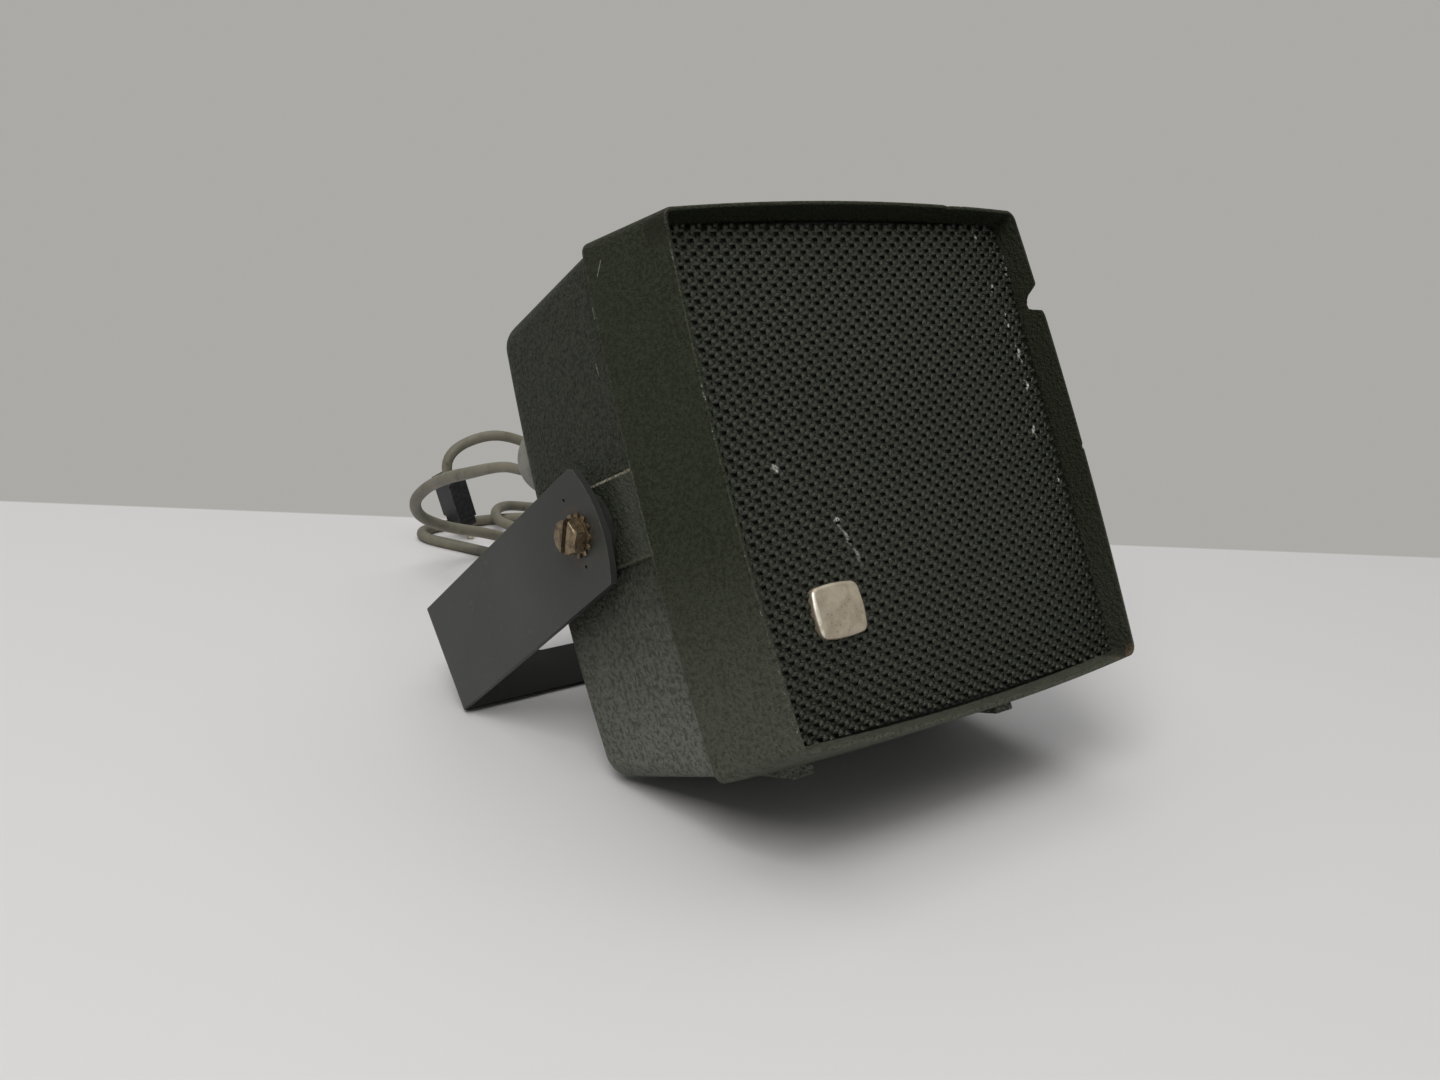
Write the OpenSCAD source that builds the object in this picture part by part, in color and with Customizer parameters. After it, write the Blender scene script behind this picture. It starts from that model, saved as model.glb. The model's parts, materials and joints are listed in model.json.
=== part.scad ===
// Small loudspeaker in a two-part moulded case, leaning back on a U-shaped swivel bracket.
// The case is drawn upright, with the front rim at depth 0, depth running back along +Y and
// the middle of the rim on the Z axis, and is then leaned back until it stands on the table.

/* [Case] */
// Width and height of the front rim, measured at its corners
case_size = 120; // [112:1:130]
// Depth of the front half of the case
front_depth = 27.5; // [25:0.5:32]
// Depth of the rear half of the case
rear_depth = 47.2; // [42:0.1:54]
// How far each side of the front half spreads from rim to seam
front_flare = 2.4; // [1:0.1:3]
// How far the left and right sides draw in from the seam to the back
side_taper = 3; // [2:0.5:6]
// How far the top draws in from the seam to the back
top_taper = 3.6; // [3:0.1:5]
// How far the bottom draws in from the seam to the back
bottom_taper = 3.9; // [3:0.1:5]
// How far each side bows outwards at the front rim
rim_bow = 1.95; // [1:0.05:2.5]
// How far each side bows outwards at the seam
seam_bow = 1.9; // [1.5:0.05:2.5]
// How far each side bows outwards at the back
back_bow = 1.85; // [1:0.05:2.5]
// Radius of the four corners seen from the front
corner_r = 3; // [2:0.5:5]
// Radius of the edge round the back
back_edge_r = 6; // [4:0.5:8]
// Wall of the front half
front_wall = 2.7; // [2.2:0.1:3.2]
// Wall of the rear half
rear_wall = 2.5; // [2:0.1:3]
// Wall of the front half at the edge of its rim
rim_edge = 1.1; // [0.9:0.1:2]
// How far the front half laps over the rear half
lap = 3; // [2:0.5:4]
// Wall of the front half where it laps over
lap_wall = 1.2; // [1:0.1:1.5]
// Angle that the case leans back by
lean = 30.13; // [26:0.5:34]

/* [Side bosses and ribs] */
// Height of the side bosses that carry the bracket
boss_height = 20.4; // [16:0.4:24]
// How far each boss stands out past the bow of the seam
boss_proud = -0.8; // [-1:0.1:0]
// Depth of the back end of each boss
boss_end = 61; // [58:0.5:64]
// Width of the two ribs underneath
rib_width = 7; // [4:0.5:9]
// Distance between the ribs, middle to middle
rib_pitch = 72.8; // [60:0.4:84]
// How far each rib stands out at the seam
rib_drop = 4; // [3:0.1:6]
// Slope of the ribs' lower edges
rib_slope = 0.2; // [0.18:0.01:0.24]

/* [Grille] */
// How far the cloth lies behind the front rim
grille_recess = 6.5; // [5:0.5:8]
// Thickness of the cloth
cloth_t = 0.4; // [0.3:0.1:0.6]
// Thickness of the sheet that carries the cloth
sheet_t = 0.8; // [0.6:0.1:1.2]
// Thickness of the baffle in the front half
baffle_t = 3; // [2.5:0.5:4]
// Width of the badge
badge_w = 15.3; // [10:0.1:18]
// Height of the badge
badge_h = 12.5; // [10:0.1:18]
// Thickness of the badge
badge_t = 2; // [1.2:0.1:2.5]
// Distance of the badge's middle from the left side of the rim
badge_from_left = 25.8; // [22:0.2:32]
// Distance of the badge's middle from the bottom of the rim
badge_from_foot = 28.2; // [22:0.2:34]

/* [Driver] */
// Gap between the driver's flange and the wall of the case
flange_gap = 5.37; // [4:0.01:6]
// Width of the flange outside the sound opening
flange_rim = 8; // [7:0.1:9]
// Thickness of the basket's pressed steel
basket_t = 1.2; // [0.8:0.1:1.5]
// Thickness of the card ring
gasket_t = 1; // [0.5:0.1:1.5]
// Depth of the basket from its flange to its rear plate
basket_depth = 18; // [16:0.5:21]
// Outer diameter of the magnet ring
magnet_d = 64; // [56:1:72]
// Inner diameter of the magnet ring
magnet_bore = 32; // [28:1:36]
// Length of the magnet ring
magnet_len = 12; // [8:0.5:14]
// Diameter of the two steel plates of the magnet
plate_d = 58; // [52:1:64]
// Thickness of the two steel plates of the magnet
plate_t = 4; // [3:0.5:5]
// Diameter of the pole
pole_d = 18.6; // [16:0.1:20]
// Outer diameter of the voice coil's tube
former_d = 20; // [19.6:0.1:21]
// Wall of the voice coil's tube
former_t = 0.3; // [0.2:0.05:0.35]
// Thickness of the winding
winding_t = 0.4; // [0.3:0.05:0.5]
// Thickness of the cone's paper
cone_t = 0.6; // [0.4:0.1:1]

/* [Bracket] */
// Width of the bracket's strip
strip_w = 29.1; // [24:0.1:34]
// Thickness of the bracket's strip
strip_t = 1.8; // [1.5:0.1:2]
// Distance from the pivot to the outside of the bracket's base
reach = 75.5; // [74:0.5:80]
// Depth of the pivot behind the front rim
pivot_depth = 48.9; // [46:0.1:50]
// Radius of the arms' ends
arm_end_r = 30; // [26:0.5:34]
// Distance of the arms' rounded ends from the pivot
arm_past = 9.2; // [8:0.1:11]
// How far the middle of the end arc lies off the strip's middle
arm_skew = 1.8; // [0:0.1:3]
// Radius of the arms' upper corners
arm_corner_r = 3; // [2.5:0.5:7]
// Radius inside the two bends
bend_r = 0.8; // [0.5:0.1:2]
// Width of the two slots in the base
slot_w = 6.5; // [4:0.1:8]
// Length of each slot, end to end
slot_len = 24; // [12:0.5:28]
// Distance between the middles of the slots
slot_pitch = 55; // [46:0.5:64]
// Diameter of the small stop holes in the arms
stop_hole_d = 1; // [0.8:0.1:2]
// Distance of the stop holes from the pivot
stop_hole_off = 8.3; // [7:0.1:9.5]

/* [Pivot hardware] */
// Diameter of the pivot bolts
bolt_d = 5; // [4.5:0.1:6]
// Width across the flats of the bolt heads
head_af = 8; // [7.5:0.1:10]
// Height of the bolt heads
head_h = 3.4; // [3:0.1:4.5]
// Length of the bolts under the head
bolt_len = 12; // [10:0.5:13]
// Diameter of the toothed washers
washer_d = 10.6; // [10:0.1:12]
// Thickness of the toothed washers
washer_t = 0.8; // [0.5:0.1:1]
// Teeth on each washer
washer_teeth = 12; // [8:1:16]
// Diameter of the discs between boss and arm
spacer_d = 20.4; // [16:0.1:21]
// Thickness of the discs between boss and arm
spacer_t = 1; // [0.8:0.1:1.4]
// Diameter of the threaded inserts
insert_d = 8.4; // [8:0.1:9]
// Length of the threaded inserts
insert_len = 9; // [7:0.5:10]

/* [Screws] */
// Distance of the case screws from the sides of the case at the seam
case_screw_in = 17.4; // [16:0.1:18]
// Diameter of the case screws
case_screw_d = 4; // [3:0.1:4.2]
// Length of the case screws under the head
case_screw_len = 18; // [14:1:19]
// Diameter of the driver screws
driver_screw_d = 3; // [2.5:0.1:3.2]

/* [Cord] */
// Diameter of the cord
cord_d = 3.6; // [3:0.1:3.8]
// Distance of the strain relief from the left side of the case at the seam
relief_in = 20.4; // [19:0.1:25]
// Distance of the strain relief from the top of the case at the seam
relief_under = 36.6; // [33:0.1:41]
// How far the strain relief stands out of the back
relief_len = 21.6; // [18:0.1:23]
// Diameter of the strain relief at the back of the case
relief_d = 20.8; // [15:0.1:22]
// Length of the plug's body
plug_len = 18.6; // [17:0.1:24]

/* [Hidden] */
$fn = 64;
running_gap = 0.05;
rub_gap = 0.02;
assembly_gap = 0.15;
through = 1;
small_hole_sides = 24;

// Half sizes and depths that follow from the case's sizes
case_depth = front_depth + rear_depth;
rim_half = case_size / 2;
seam_half = rim_half + front_flare;
lap_clearance = 0.1;
rear_half_front = seam_half - lap_wall - lap_clearance;
rear_start = front_depth - lap;
edge_round = 0.5;

// A row of points on the outline of a square with bowed sides and rounded corners.
// Sides and corners run into each other without a kink.
corner_steps = 4;
side_steps = 8;
function end_slope(bow, chord) = 2 * atan(2 * bow / chord);
function outline(hx, hz, bow, r) = [for (k = [0:3])
    let (half_chord = k % 2 == 0 ? hx - r : hz - r)
    let (s0 = end_slope(bow, 2 * (k % 2 == 0 ? hz - r : hx - r)))
    let (s1 = end_slope(bow, 2 * half_chord))
    let (cx = (k == 0 || k == 3 ? 1 : -1) * (hx - r))
    let (cz = (k < 2 ? 1 : -1) * (hz - r))
    let (a0 = 90 * k + s0)
    let (a1 = 90 * (k + 1) - s1)
    let (bow_r = half_chord / sin(s1))
    let (sx = k == 0 ? 0 : k == 1 ? -hx + r : k == 2 ? 0 : hx - r)
    let (sz = k == 0 ? hz - r : k == 1 ? 0 : k == 2 ? -hz + r : 0)
    let (side_a = 90 * (k + 1))
    let (side_n = [cos(side_a), sin(side_a)])
    let (side_t = [-sin(side_a), cos(side_a)])
    each concat(
        [for (i = [0:corner_steps]) let (a = a0 + (a1 - a0) * i / corner_steps)
            [cx + r * cos(a), cz + r * sin(a)]],
        [for (i = [1:side_steps - 1]) let (t = s1 * (2 * i / side_steps - 1))
            [sx, sz] + side_n * (r + bow_r * (cos(t) - cos(s1)) - r * (1 - cos(s1)))
                + side_t * bow_r * sin(t)])];

// A closed solid through a row of outlines of equally many points, from front to back
module loft(rings, depths) {
    n = len(rings[0]);
    m = len(rings);
    points = [for (k = [0:m - 1]) for (p = rings[k]) [p[0], depths[k], p[1]]];
    walls = [for (k = [0:m - 2]) for (i = [0:n - 1])
        let (j = (i + 1) % n, a = k * n + i, b = k * n + j, c = b + n, d = a + n)
        each [[a, b, c], [a, c, d]]];
    front = [for (i = [n - 1:-1:0]) i];
    back = [for (i = [0:n - 1]) (m - 1) * n + i];
    polyhedron(points = points, faces = concat([front], walls, [back]));
}

// Outline of the front half at a depth, drawn in by an inset
function front_bow(depth) = rim_bow + (seam_bow - rim_bow) * depth / front_depth;
function front_half(depth) = rim_half + front_flare * depth / front_depth;
function front_ring(depth, inset = 0) = outline(front_half(depth) - inset,
    front_half(depth) - inset, front_bow(depth), max(corner_r - inset, 1));

// Outline of the rear half at a depth, drawn in by an inset. Its front end is straight,
// where it goes into the front half, and its back edge is rounded.
function back_share(depth) = max(0, depth - front_depth) / rear_depth;
function rear_bow(depth) = seam_bow + (back_bow - seam_bow) * min(1, back_share(depth));
function rear_hx(depth) = rear_half_front - side_taper * back_share(depth);
function rear_hz(depth) = rear_half_front - (top_taper + bottom_taper) / 2 * back_share(depth);
function rear_drop(depth) = (top_taper - bottom_taper) / 2 * back_share(depth);
function dropped(ring, drop) = [for (p = ring) p - [0, drop]];
function rear_ring(depth, inset) = dropped(outline(rear_hx(depth) - inset, rear_hz(depth) - inset,
    rear_bow(depth), max(corner_r - inset, 1)), rear_drop(depth));
edge_steps = 5;
function edge_a(i, r, taper) = taper + (90 - taper) * i / edge_steps;
wall_slope = atan(bottom_taper / rear_depth);
// The rounded edge: each ring is drawn in as the circle falls away from the wall
function edge_ring(i, r, inset) = let (a = edge_a(i, r, wall_slope))
    let (depth = case_depth - inset - r + r * sin(wall_slope))
    let (drawn = inset + r * (cos(wall_slope) - cos(a)))
    dropped(outline(rear_hx(depth) - drawn, rear_hz(depth) - drawn, rear_bow(case_depth),
        max(back_edge_r + 1 - drawn, 1)), rear_drop(depth));
function edge_depth(i, r, inset) = case_depth - inset - r + r * sin(edge_a(i, r, wall_slope));

module rear_solid(r, inset, start) {
    rings = concat([rear_ring(start, inset), rear_ring(front_depth, inset)],
        [for (i = [0:edge_steps]) edge_ring(i, r, inset)]);
    depths = concat([start, front_depth], [for (i = [0:edge_steps]) edge_depth(i, r, inset)]);
    loft(rings, depths);
}

// Where the leaning case stands: the rounded bottom edge at the back touches the table
edge_touch_depth = case_depth - back_edge_r;
edge_start = edge_touch_depth + back_edge_r * sin(wall_slope);
edge_touch_down = rear_hz(edge_start) + rear_drop(edge_start) + rear_bow(case_depth)
    - back_edge_r * cos(wall_slope);
lift = back_edge_r + edge_touch_down * cos(lean) + edge_touch_depth * sin(lean);

// The pivot, and the angle at which the lower edge of the bracket's base meets the table
pivot_y = pivot_depth * cos(lean);
pivot_z = lift - pivot_depth * sin(lean);
corner_reach = sqrt(reach * reach + strip_w * strip_w / 4);
arm_drop = asin(pivot_z / corner_reach) - atan(strip_w / 2 / reach);

// The whole object is centred on its footprint
front_y = -(rim_half + rim_bow) * sin(lean);
back_y = pivot_y + reach * cos(arm_drop) + strip_w / 2 * sin(arm_drop);
centre_y = (front_y + back_y) / 2;

// Puts a piece of the upright case where the leaning case holds it
module leaned() {
    translate([0, -centre_y, lift]) rotate([-lean, 0, 0]) children();
}

// Puts a piece drawn with the pivot at the origin and the arms along +Y into the bracket
module swung() {
    translate([0, pivot_y - centre_y, pivot_z]) rotate([-arm_drop, 0, 0]) children();
}

// A piece turned about the driver's axis: its profile is drawn as radius and depth
module turned() {
    mirror([0, 0, 1]) rotate([90, 0, 0]) mirror([0, 0, 1]) rotate_extrude($fn = 96) children();
}

// A cylinder along the depth of the case, from one depth to another
module rod(x, z, d, from, to, sides = 48) {
    translate([x, from, z]) rotate([-90, 0, 0]) cylinder(h = to - from, d = d, $fn = sides);
}

module at_corners(off) {
    for (sx = [-1, 1], sz = [-1, 1]) translate([sx * off, 0, sz * off]) children();
}

// Depths of the layers behind the rim
cloth_front = grille_recess;
sheet_front = cloth_front + cloth_t;
baffle_front = sheet_front + sheet_t + assembly_gap;
baffle_back = baffle_front + baffle_t;
flange_front = baffle_back + gasket_t + 0.4;
flange_back = flange_front + basket_t;

// The driver fills the case: its flange and its sound opening follow the case's wall
flange_d = 2 * (front_half(flange_front) - front_wall - flange_gap);
sound_d = flange_d - 2 * flange_rim;

// Posts, tubes and screws of the case
case_screw_off = seam_half - case_screw_in;
post_d = 9;
tube_d = 10.4;
screw_head_d = 7;
screw_head_h = 2.6;
head_bore_d = screw_head_d + 0.8;
pilot_share = 0.98;
tube_floor = 8;
head_seat = rear_start + tube_floor;
screw_tip = head_seat - case_screw_len;

// Posts that locate the driver's flange
stud_d = 5;
stud_edge = 3.4;
driver_screw_r = flange_d / 2 - stud_edge;
stud_len = flange_back - baffle_back + 1.2;
stud_back = baffle_back + stud_len;
stud_hole_d = stud_d + 0.4;
driver_screw_len = 6;
driver_head_d = 6.4;
driver_head_h = 1.8;

// Tabs of the grille sheet, bent behind the baffle
tab_w = 5;
tab_off = 30;
tab_fold = 4;

function cloth_half() = front_half(cloth_front) - front_wall - assembly_gap;

module front_shell() {
    color([0.16, 0.18, 0.16])
    leaned() difference() {
        union() {
            difference() {
                loft([front_ring(0, edge_round), front_ring(edge_round),
                    front_ring(front_depth - edge_round),
                    front_ring(front_depth, edge_round)],
                    [0, edge_round, front_depth - edge_round, front_depth]);
                loft([front_ring(0, rim_edge), front_ring(0, rim_edge),
                    front_ring(cloth_front, front_wall), front_ring(baffle_front, front_wall)],
                    [-through, 0, cloth_front, baffle_front]);
                loft([front_ring(baffle_back, front_wall), front_ring(rear_start, front_wall)],
                    [baffle_back, rear_start + lap_clearance]);
                lap_ring = outline(seam_half - lap_wall, seam_half - lap_wall, seam_bow,
                    corner_r - lap_clearance);
                loft([lap_ring, lap_ring], [rear_start, front_depth + through]);
            }
            at_corners(case_screw_off) rod(0, 0, post_d, baffle_front, rear_start);
            for (a = [45:90:315])
                rod(driver_screw_r * cos(a), driver_screw_r * sin(a), stud_d,
                    baffle_front, stud_back);
        }
        rod(0, 0, sound_d, baffle_front - through, baffle_back + through, 128);
        at_corners(case_screw_off)
            rod(0, 0, case_screw_d * pilot_share, screw_tip - 1, rear_start + through);
        for (a = [45:90:315])
            rod(driver_screw_r * cos(a), driver_screw_r * sin(a), driver_screw_d * pilot_share,
                stud_back - driver_screw_len, stud_back + through, small_hole_sides);
        for (sx = [-1, 1], sz = [-1, 1])
            translate([sx * tab_off - tab_w / 2 - assembly_gap, baffle_front - through,
                sz * tab_row - sheet_t / 2 - assembly_gap])
                cube([tab_w + 2 * assembly_gap, baffle_t + 2 * through,
                    sheet_t + 2 * assembly_gap]);
        for (s = [-1, 1])
            rod(badge_x + s * badge_pin_off, badge_z, badge_pin_d + 0.3,
                baffle_front - through, baffle_back + through, small_hole_sides);
    }
}

// The tabs come through the baffle beyond the driver's flange
tab_row = flange_d / 2 - 1.6;

module grille_cloth() {
    color([0.05, 0.05, 0.05])
    leaned() difference() {
        half = cloth_half();
        bow = front_bow(cloth_front);
        hem = outline(half, half, bow, 1);
        inner = outline(half - cloth_t, half - cloth_t, bow, 1);
        loft([hem, hem], [cloth_front, sheet_front + sheet_t]);
        loft([inner, inner], [sheet_front, sheet_front + sheet_t + through]);
        for (s = [-1, 1])
            rod(badge_x + s * badge_pin_off, badge_z, badge_pin_d + 0.2,
                cloth_front - through, sheet_front + through, small_hole_sides);
    }
}

module grille_sheet() {
    color([0.12, 0.12, 0.12])
    leaned() difference() {
        union() {
            half = cloth_half() - cloth_t - rub_gap;
            edge = outline(half, half, front_bow(cloth_front), 1);
            loft([edge, edge], [sheet_front, sheet_front + sheet_t]);
            for (sx = [-1, 1], sz = [-1, 1]) {
                translate([sx * tab_off - tab_w / 2, sheet_front, sz * tab_row - sheet_t / 2])
                    cube([tab_w, baffle_back + sheet_t - sheet_front, sheet_t]);
                translate([sx * tab_off - tab_w / 2, baffle_back + rub_gap,
                    sz * tab_row - sheet_t / 2 + (sz > 0 ? 0 : -tab_fold + sheet_t)])
                    cube([tab_w, sheet_t, tab_fold]);
            }
        }
        for (s = [-1, 1])
            rod(badge_x + s * badge_pin_off, badge_z, badge_pin_d + 0.2,
                sheet_front - through, baffle_front + through, small_hole_sides);
    }
}

badge_x = badge_from_left - rim_half;
badge_z = badge_from_foot - rim_half;
badge_pin_d = 1.4;
badge_pin_off = 3.5;
badge_bow = 0.35;
badge_corner = 2;

module badge() {
    color([0.66, 0.63, 0.57])
    leaned() {
        outer = outline(badge_w / 2 - badge_bow, badge_h / 2 - badge_bow, badge_bow, badge_corner);
        face = outline(badge_w / 2 - 2 * badge_bow, badge_h / 2 - 2 * badge_bow, badge_bow,
            badge_corner - badge_bow);
        translate([badge_x, 0, badge_z])
            loft([face, outer, outer], [cloth_front - badge_t, cloth_front - badge_t + badge_bow,
                cloth_front]);
        for (s = [-1, 1])
            rod(badge_x + s * badge_pin_off, badge_z, badge_pin_d, cloth_front - badge_bow,
                baffle_front + baffle_t / 2, small_hole_sides);
    }
}

module driver_gasket() {
    color([0.45, 0.4, 0.32])
    leaned() difference() {
        rod(0, 0, flange_d - 0.4, baffle_back, baffle_back + gasket_t, 96);
        rod(0, 0, sound_d + 2, baffle_back - through, baffle_back + gasket_t + through, 96);
        flange_holes();
    }
}

module flange_holes() {
    for (a = [45:90:315])
        rod(driver_screw_r * cos(a), driver_screw_r * sin(a), stud_hole_d,
            baffle_back - through, flange_back + through);
    for (sx = [-1, 1], sz = [-1, 1])
        translate([sx * tab_off - tab_w, baffle_back - through,
            sz > 0 ? tab_row - tab_w : -tab_row - tab_w])
            cube([2 * tab_w, flange_back + 2 * through, 2 * tab_w]);
}

// Sizes of the basket and of what it carries, as radius and depth
cone_edge_r = sound_d / 2 - 5.4;
basket_in_r = sound_d / 2 + 0.6;
plate_depth = flange_front + basket_depth;
basket_rear_r = 30.5;
basket_hole_r = 13;
top_front = plate_depth + basket_t;
magnet_front = top_front + plate_t;
back_front = magnet_front + magnet_len;
spider_r = 26;
spider_depth = plate_depth - 0.5;
former_front = plate_depth - 3.6;
former_back = magnet_front + 2.4;
neck_r = former_d / 2 + 0.1;
neck_depth = former_front + 1.2;

module driver_basket() {
    color([0.55, 0.55, 0.53])
    leaned() difference() {
        turned() polygon([[basket_in_r, flange_front], [flange_d / 2, flange_front],
            [flange_d / 2, flange_back], [basket_in_r + basket_t, flange_back],
            [basket_rear_r + basket_t, plate_depth], [basket_rear_r + basket_t, top_front],
            [basket_hole_r, top_front], [basket_hole_r, plate_depth],
            [basket_rear_r, plate_depth], [basket_in_r - 0.6, flange_front + basket_t]]);
        flange_holes();
        for (a = [0:90:270]) rotate([0, a, 0])
            translate([-window_w / 2, window_front, basket_rear_r - 6])
                cube([window_w, window_back - window_front, flange_d / 2]);
    }
}

window_w = 36;
window_front = flange_back + 3;
window_back = plate_depth - 2.4;

module cone_surround() {
    roll_r = 2.2;
    skin = 0.4;
    front = flange_front - skin;
    mid = (cone_edge_r + sound_d / 2 + 0.4) / 2;
    color([0.1, 0.1, 0.1])
    leaned() difference() {
        turned() difference() {
            union() {
                translate([cone_edge_r - 1.2, front])
                    square([basket_in_r + 3 - cone_edge_r + 1.2, skin]);
                translate([mid, front + skin]) circle(r = roll_r, $fn = 32);
            }
            translate([mid, front + skin]) circle(r = roll_r - skin, $fn = 32);
            translate([mid - roll_r - 1, front + skin]) square([2 * roll_r + 2, 2 * roll_r]);
        }
        flange_holes();
    }
}

module cone() {
    color([0.2, 0.19, 0.18])
    leaned() turned() polygon([[cone_edge_r - 1.2, flange_front], [cone_edge_r, flange_front],
        [cone_edge_r, flange_front + cone_t], [neck_r + 0.9, neck_depth + cone_t / 2],
        [neck_r, neck_depth + cone_t / 2], [neck_r, neck_depth - cone_t / 2],
        [cone_edge_r - 1.2, flange_front + cone_t / 2]]);
}

dome_r = 17;
dome_edge_r = 13.2;
function cone_inside(r) = flange_front + cone_t / 2
    + (neck_depth - cone_t - flange_front) * (cone_edge_r - 1.2 - r) / (cone_edge_r - 1.2 - neck_r);

module dust_cap() {
    rim_depth = cone_inside(dome_edge_r);
    centre_depth = rim_depth + sqrt(dome_r * dome_r - dome_edge_r * dome_edge_r);
    color([0.15, 0.15, 0.15])
    leaned() turned() intersection() {
        difference() {
            translate([0, centre_depth]) circle(r = dome_r, $fn = 96);
            translate([0, centre_depth]) circle(r = dome_r - cone_t, $fn = 96);
        }
        translate([0, centre_depth - dome_r - through])
            square([dome_edge_r, dome_r + through - (centre_depth - rim_depth)]);
    }
}

module voice_coil_former() {
    color([0.6, 0.45, 0.3])
    leaned() turned() translate([former_d / 2 - former_t, former_front])
        square([former_t, former_back - former_front]);
}

module voice_coil_winding() {
    color([0.7, 0.35, 0.15])
    leaned() turned() translate([former_d / 2, top_front + plate_t / 2 - winding_len / 2])
        square([winding_t, winding_len]);
}

winding_len = 6;

module spider() {
    skin = 0.4;
    folds = 5;
    fold_w = (spider_r - 3 - former_d / 2 - 1.6) / folds;
    color([0.75, 0.6, 0.3])
    leaned() turned() {
        points = [for (i = [0:2 * folds]) [former_d / 2 + 1.6 + fold_w * i / 2,
            spider_depth - (i % 2) * 1]];
        polygon(concat([[former_d / 2 + 0.02, spider_depth]], points,
            [[spider_r, spider_depth], [spider_r, spider_depth + skin]],
            [for (i = [2 * folds:-1:0]) points[i] + [0, skin]],
            [[former_d / 2 + 0.02, spider_depth + skin]]));
    }
}

gap_r = former_d / 2 + winding_t + 0.45;

module top_plate() {
    color([0.7, 0.7, 0.68])
    leaned() turned() translate([gap_r, top_front]) square([plate_d / 2 - gap_r, plate_t]);
}

module magnet_ring() {
    color([0.14, 0.14, 0.15])
    leaned() turned() translate([magnet_bore / 2, magnet_front])
        square([(magnet_d - magnet_bore) / 2, magnet_len]);
}

module back_plate() {
    color([0.7, 0.7, 0.68])
    leaned() turned() polygon([[0, top_front], [pole_d / 2, top_front],
        [pole_d / 2, back_front], [plate_d / 2, back_front], [plate_d / 2, back_front + plate_t],
        [0, back_front + plate_t]]);
}

// Terminal strip on the back of the flange, at the top of the driver
strip_l = 20;
strip_h = 5;
strip_thick = 1.6;
strip_up = flange_d / 2 - strip_h - 1.4;
tag_off = 6;
tag_w = 3;
tag_t = 0.6;
tag_len = 7;

module terminal_strip() {
    color([0.45, 0.28, 0.14])
    leaned() translate([-strip_l / 2, flange_back, strip_up])
        cube([strip_l, strip_thick, strip_h]);
}

module terminal_tags() {
    color([0.75, 0.6, 0.3])
    leaned() for (s = [-1, 1])
        translate([s * tag_off - tag_w / 2, flange_back + strip_thick,
            strip_up + strip_h / 2 - tag_t / 2])
            cube([tag_w, tag_len, tag_t]);
}

// Leads, cord and coil are tubes swept along points
function unit(v) = v / norm(v);
function tangents(p) = [for (i = [0:len(p) - 1])
    unit(p[min(i + 1, len(p) - 1)] - p[max(i - 1, 0)])];
function across(v, t) = unit(v - (v * t) * t);
function start_side(t) = abs(t[2]) < 0.8 ? across([0, 0, 1], t) : across([1, 0, 0], t);
function sides_along(ts) = [for (i = 0, v = start_side(ts[0]); i < len(ts);
    i = i + 1, v = i < len(ts) ? across(v, ts[i]) : v) v];

module tube(path, d, sides) {
    ts = tangents(path);
    vs = sides_along(ts);
    m = len(path);
    points = [for (k = [0:m - 1]) for (i = [0:sides - 1])
        let (a = 360 * i / sides)
        path[k] + d / 2 * (cos(a) * vs[k] + sin(a) * cross(ts[k], vs[k]))];
    walls = [for (k = [0:m - 2]) for (i = [0:sides - 1])
        let (j = (i + 1) % sides, a = k * sides + i, b = k * sides + j)
        each [[a, a + sides, b + sides], [a, b + sides, b]]];
    start = [for (i = [0:sides - 1]) i];
    finish = [for (i = [sides - 1:-1:0]) (m - 1) * sides + i];
    polyhedron(points = points, faces = concat([start], walls, [finish]));
}

// A smooth curve through points, with a number of steps between each two
function curve_at(p, i, t) =
    let (a = p[max(i - 1, 0)], b = p[i], c = p[i + 1], e = p[min(i + 2, len(p) - 1)])
    0.5 * (2 * b + (c - a) * t + (2 * a - 5 * b + 4 * c - e) * t * t
        + (3 * b - a - 3 * c + e) * t * t * t);
function smooth(p, steps) = concat([for (i = [0:len(p) - 2]) for (s = [0:steps - 1])
    curve_at(p, i, s / steps)], [p[len(p) - 1]]);
function path_length(p) = len(p) < 2 ? 0
    : [for (i = 1, s = norm(p[1] - p[0]); i < len(p);
        i = i + 1, s = i < len(p) ? s + norm(p[i] - p[i - 1]) : s) s][len(p) - 2];

// Strain relief: its place on the back, its neck through the wall and its tip
relief_left = seam_half - relief_in;
relief_up = seam_half - relief_under;
relief_neck_d = 9;
relief_inside = 2;
relief_lip = 2;
relief_tip_d = 6.4;

// Thin leads inside the case, as points of the upright case
lead_d = 1.6;
pigtail_d = 0.8;
lead_sides = 6;
tag_back = flange_back + strip_thick + tag_len;
tag_mid = strip_up + strip_h / 2;
lead_pair = 0.7 * lead_d;
lead_from = case_depth - rear_wall - relief_inside - 0.3;
lead_gap = 6.4;
lead_ring_r = case_screw_off * sqrt(2) - tube_d / 2 - lead_gap;
module inner_leads() {
    color([0.5, 0.12, 0.1])
    leaned() for (s = [-1, 1])
        tube(smooth([[-relief_left + s * lead_pair, lead_from, relief_up],
            [-relief_left + s * lead_pair, lead_from - 3 * lead_d, relief_up],
            [s * lead_d + lead_ring_r * cos(136), back_front + plate_t + 4 * lead_d,
                lead_ring_r * sin(136)],
            [s * 2.5 * lead_d + lead_ring_r * cos(118), magnet_front + 3 * lead_d,
                lead_ring_r * sin(118)],
            [s * tag_off + (s - 2.5) * lead_d, tag_back + 5 * lead_d, tag_mid + lead_d / 2],
            [s * tag_off, tag_back + 2.5 * lead_d, tag_mid],
            [s * tag_off, tag_back + 0.3, tag_mid]], 2), lead_d, lead_sides);
}

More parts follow.
